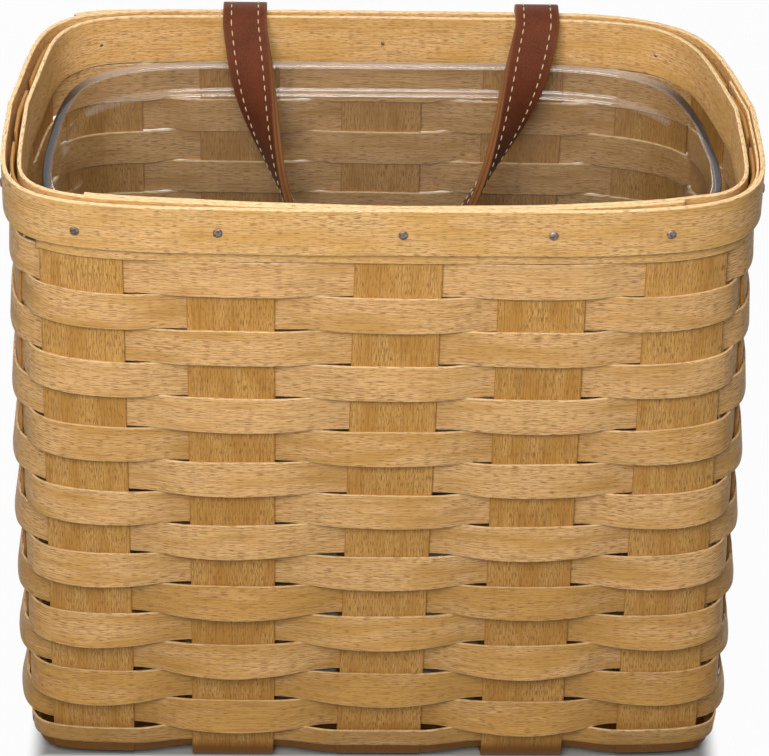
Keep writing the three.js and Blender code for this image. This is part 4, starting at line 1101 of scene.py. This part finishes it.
liner_plastic = clear_plastic("clear_formed_plastic")
lip_mark = (LINER_PROFILE[:, 0] < LIP_INSET) & (LINER_PROFILE[:, 1] > COLLAR_Z)
liner = add_strip("clear_liner", liner_rings(LINER_PROFILE), running_length(LINER_PROFILE),
                  np.arange(LINER_POINTS + 1.0), lip_mark[:, None].astype(float), False)
give(liner, liner_plastic, ["liner"], "liner")
print("liner:", len(liner.data.polygons), "quads")

# %% [markdown]
# ## Floor, light and camera
# A pale floor, soft lamps before, above and behind, and a plain white surround give a level
# at which colours render about as they are written. The floor is self-lit for the camera,
# so that it reads as white paper, except under the basket, where it lies in its shadow.

# %% Floor
FLOOR_HALF, FLOOR_Z = 2.0, -0.0004
FOOTPRINT_HALF = (0.122, 0.066)
floor_mesh = bpy.data.meshes.new("floor")
floor_mesh.from_pydata([(x * FLOOR_HALF, y * FLOOR_HALF, FLOOR_Z)
                        for x, y in ((-1, -1), (1, -1), (1, 1), (-1, 1))], [], [(0, 1, 2, 3)])
floor = put_in_scene("floor", floor_mesh)


def seen_ray(tree):
    """1 for rays that see the stage: from the camera, by a mirror or through clear plastic."""
    ray = add(tree, "LightPath").outputs
    seen = add(tree, "Math", {0: ray["Is Camera Ray"], 1: ray["Is Glossy Ray"]},
               operation="MAXIMUM")
    return add(tree, "Math", {0: seen, 1: ray["Is Transmission Ray"]}, operation="MAXIMUM")


paper, tree = new_finish("white_paper")
place = add(tree, "TexCoord").outputs["Object"]
sized = add(tree, "VectorMath", {0: place, 1: (*(1 / half for half in FOOTPRINT_HALF), 0)},
            operation="MULTIPLY")
sized = add(tree, "VectorMath", {0: sized}, operation="ABSOLUTE")
split = add(tree, "SeparateXYZ", {0: sized}).outputs
beyond = add(tree, "Math", {0: split["X"], 1: split["Y"]}, operation="MAXIMUM")
clear_of_basket = add(tree, "MapRange", {"Value": beyond, "From Min": 0.96, "From Max": 1.03,
                                         "To Max": 0.97}, interpolation_type="SMOOTHSTEP")
share = add(tree, "Math", {0: seen_ray(tree), 1: clear_of_basket}, operation="MULTIPLY")
matt = add(tree, "BsdfDiffuse", {"Color": colour("#95938f")})
glow = add(tree, "Emission", {"Color": (1, 1, 1, 1), "Strength": 1.0})
add(tree, "OutputMaterial", {0: add(tree, "MixShader", {0: share, 1: matt, 2: glow})})
floor.data.materials.append(paper)
print("floor:", 2 * FLOOR_HALF, "m square")

# %% Surround
SURROUND_LIGHT = 0.19
surround = bpy.data.worlds.new("white_surround")
bpy.context.scene.world = surround
surround.use_nodes = True
tree = surround.node_tree
tree.nodes.clear()
strength = add(tree, "MapRange",
               {"Value": seen_ray(tree), "To Min": SURROUND_LIGHT, "To Max": 1.0})
sky = add(tree, "Background", {"Color": (1, 1, 1, 1), "Strength": strength})
add(tree, "OutputWorld", {0: sky})
print("surround light:", SURROUND_LIGHT)

# %% Lamps


def soft_lamp(name, place, target, size, power):
    """A square area lamp at place, facing target, that does not stand in the picture."""
    lamp = bpy.data.lights.new(name, "AREA")
    lamp.size, lamp.energy = size, power
    holder = put_in_scene(name, lamp)
    turn = (Vector(target) - Vector(place)).to_track_quat("-Z", "Y")
    holder.matrix_world = Matrix.Translation(place) @ turn.to_matrix().to_4x4()
    holder.visible_camera = False


soft_lamp("key_lamp", (-0.12, -0.58, 0.66), (0, 0, 0.19), 0.4, 5.5)
soft_lamp("top_lamp", (0.02, -0.14, 0.85), (0, 0.03, 0.14), 0.24, 1.8)
soft_lamp("back_lamp", (-0.2, 1.0, 0.36), (0, 0.06, 0.12), 0.7, 7.0)
print("lamps:", [lamp.name for lamp in bpy.data.lights])

# %% Camera
IMAGE_WIDTH = 769
CAMERA_PLACE = (-0.02258, -1.00577, 0.78367)
CAMERA_DOWN, CAMERA_ROLL, CAMERA_YAW = (math.radians(v) for v in (32.352, 1.142, 1.409))
FOCAL_PIXELS, MIDDLE_ABOVE = 3370.74, 62.15

level_right = np.array([math.cos(CAMERA_YAW), -math.sin(CAMERA_YAW), 0])
ahead = np.array([math.sin(CAMERA_YAW) * math.cos(CAMERA_DOWN),
                  math.cos(CAMERA_YAW) * math.cos(CAMERA_DOWN), -math.sin(CAMERA_DOWN)])
level_up = np.cross(level_right, ahead)
right = math.cos(CAMERA_ROLL) * level_right + math.sin(CAMERA_ROLL) * level_up
up = math.cos(CAMERA_ROLL) * level_up - math.sin(CAMERA_ROLL) * level_right
lens = bpy.data.cameras.new("photo_camera")
lens.sensor_fit, lens.sensor_width = "HORIZONTAL", 36.0
lens.lens = FOCAL_PIXELS * lens.sensor_width / IMAGE_WIDTH
lens.shift_y = -MIDDLE_ABOVE / IMAGE_WIDTH
camera = put_in_scene("photo_camera", lens)
turned = np.column_stack([right, up, -ahead, CAMERA_PLACE])
camera.matrix_world = Matrix([*turned.tolist(), [0, 0, 0, 1]])
bpy.context.scene.camera = camera
bpy.context.scene.view_settings.view_transform = "Standard"
print("lens:", round(lens.lens, 1), "mm")

# %% Finish
bpy.context.view_layer.update()
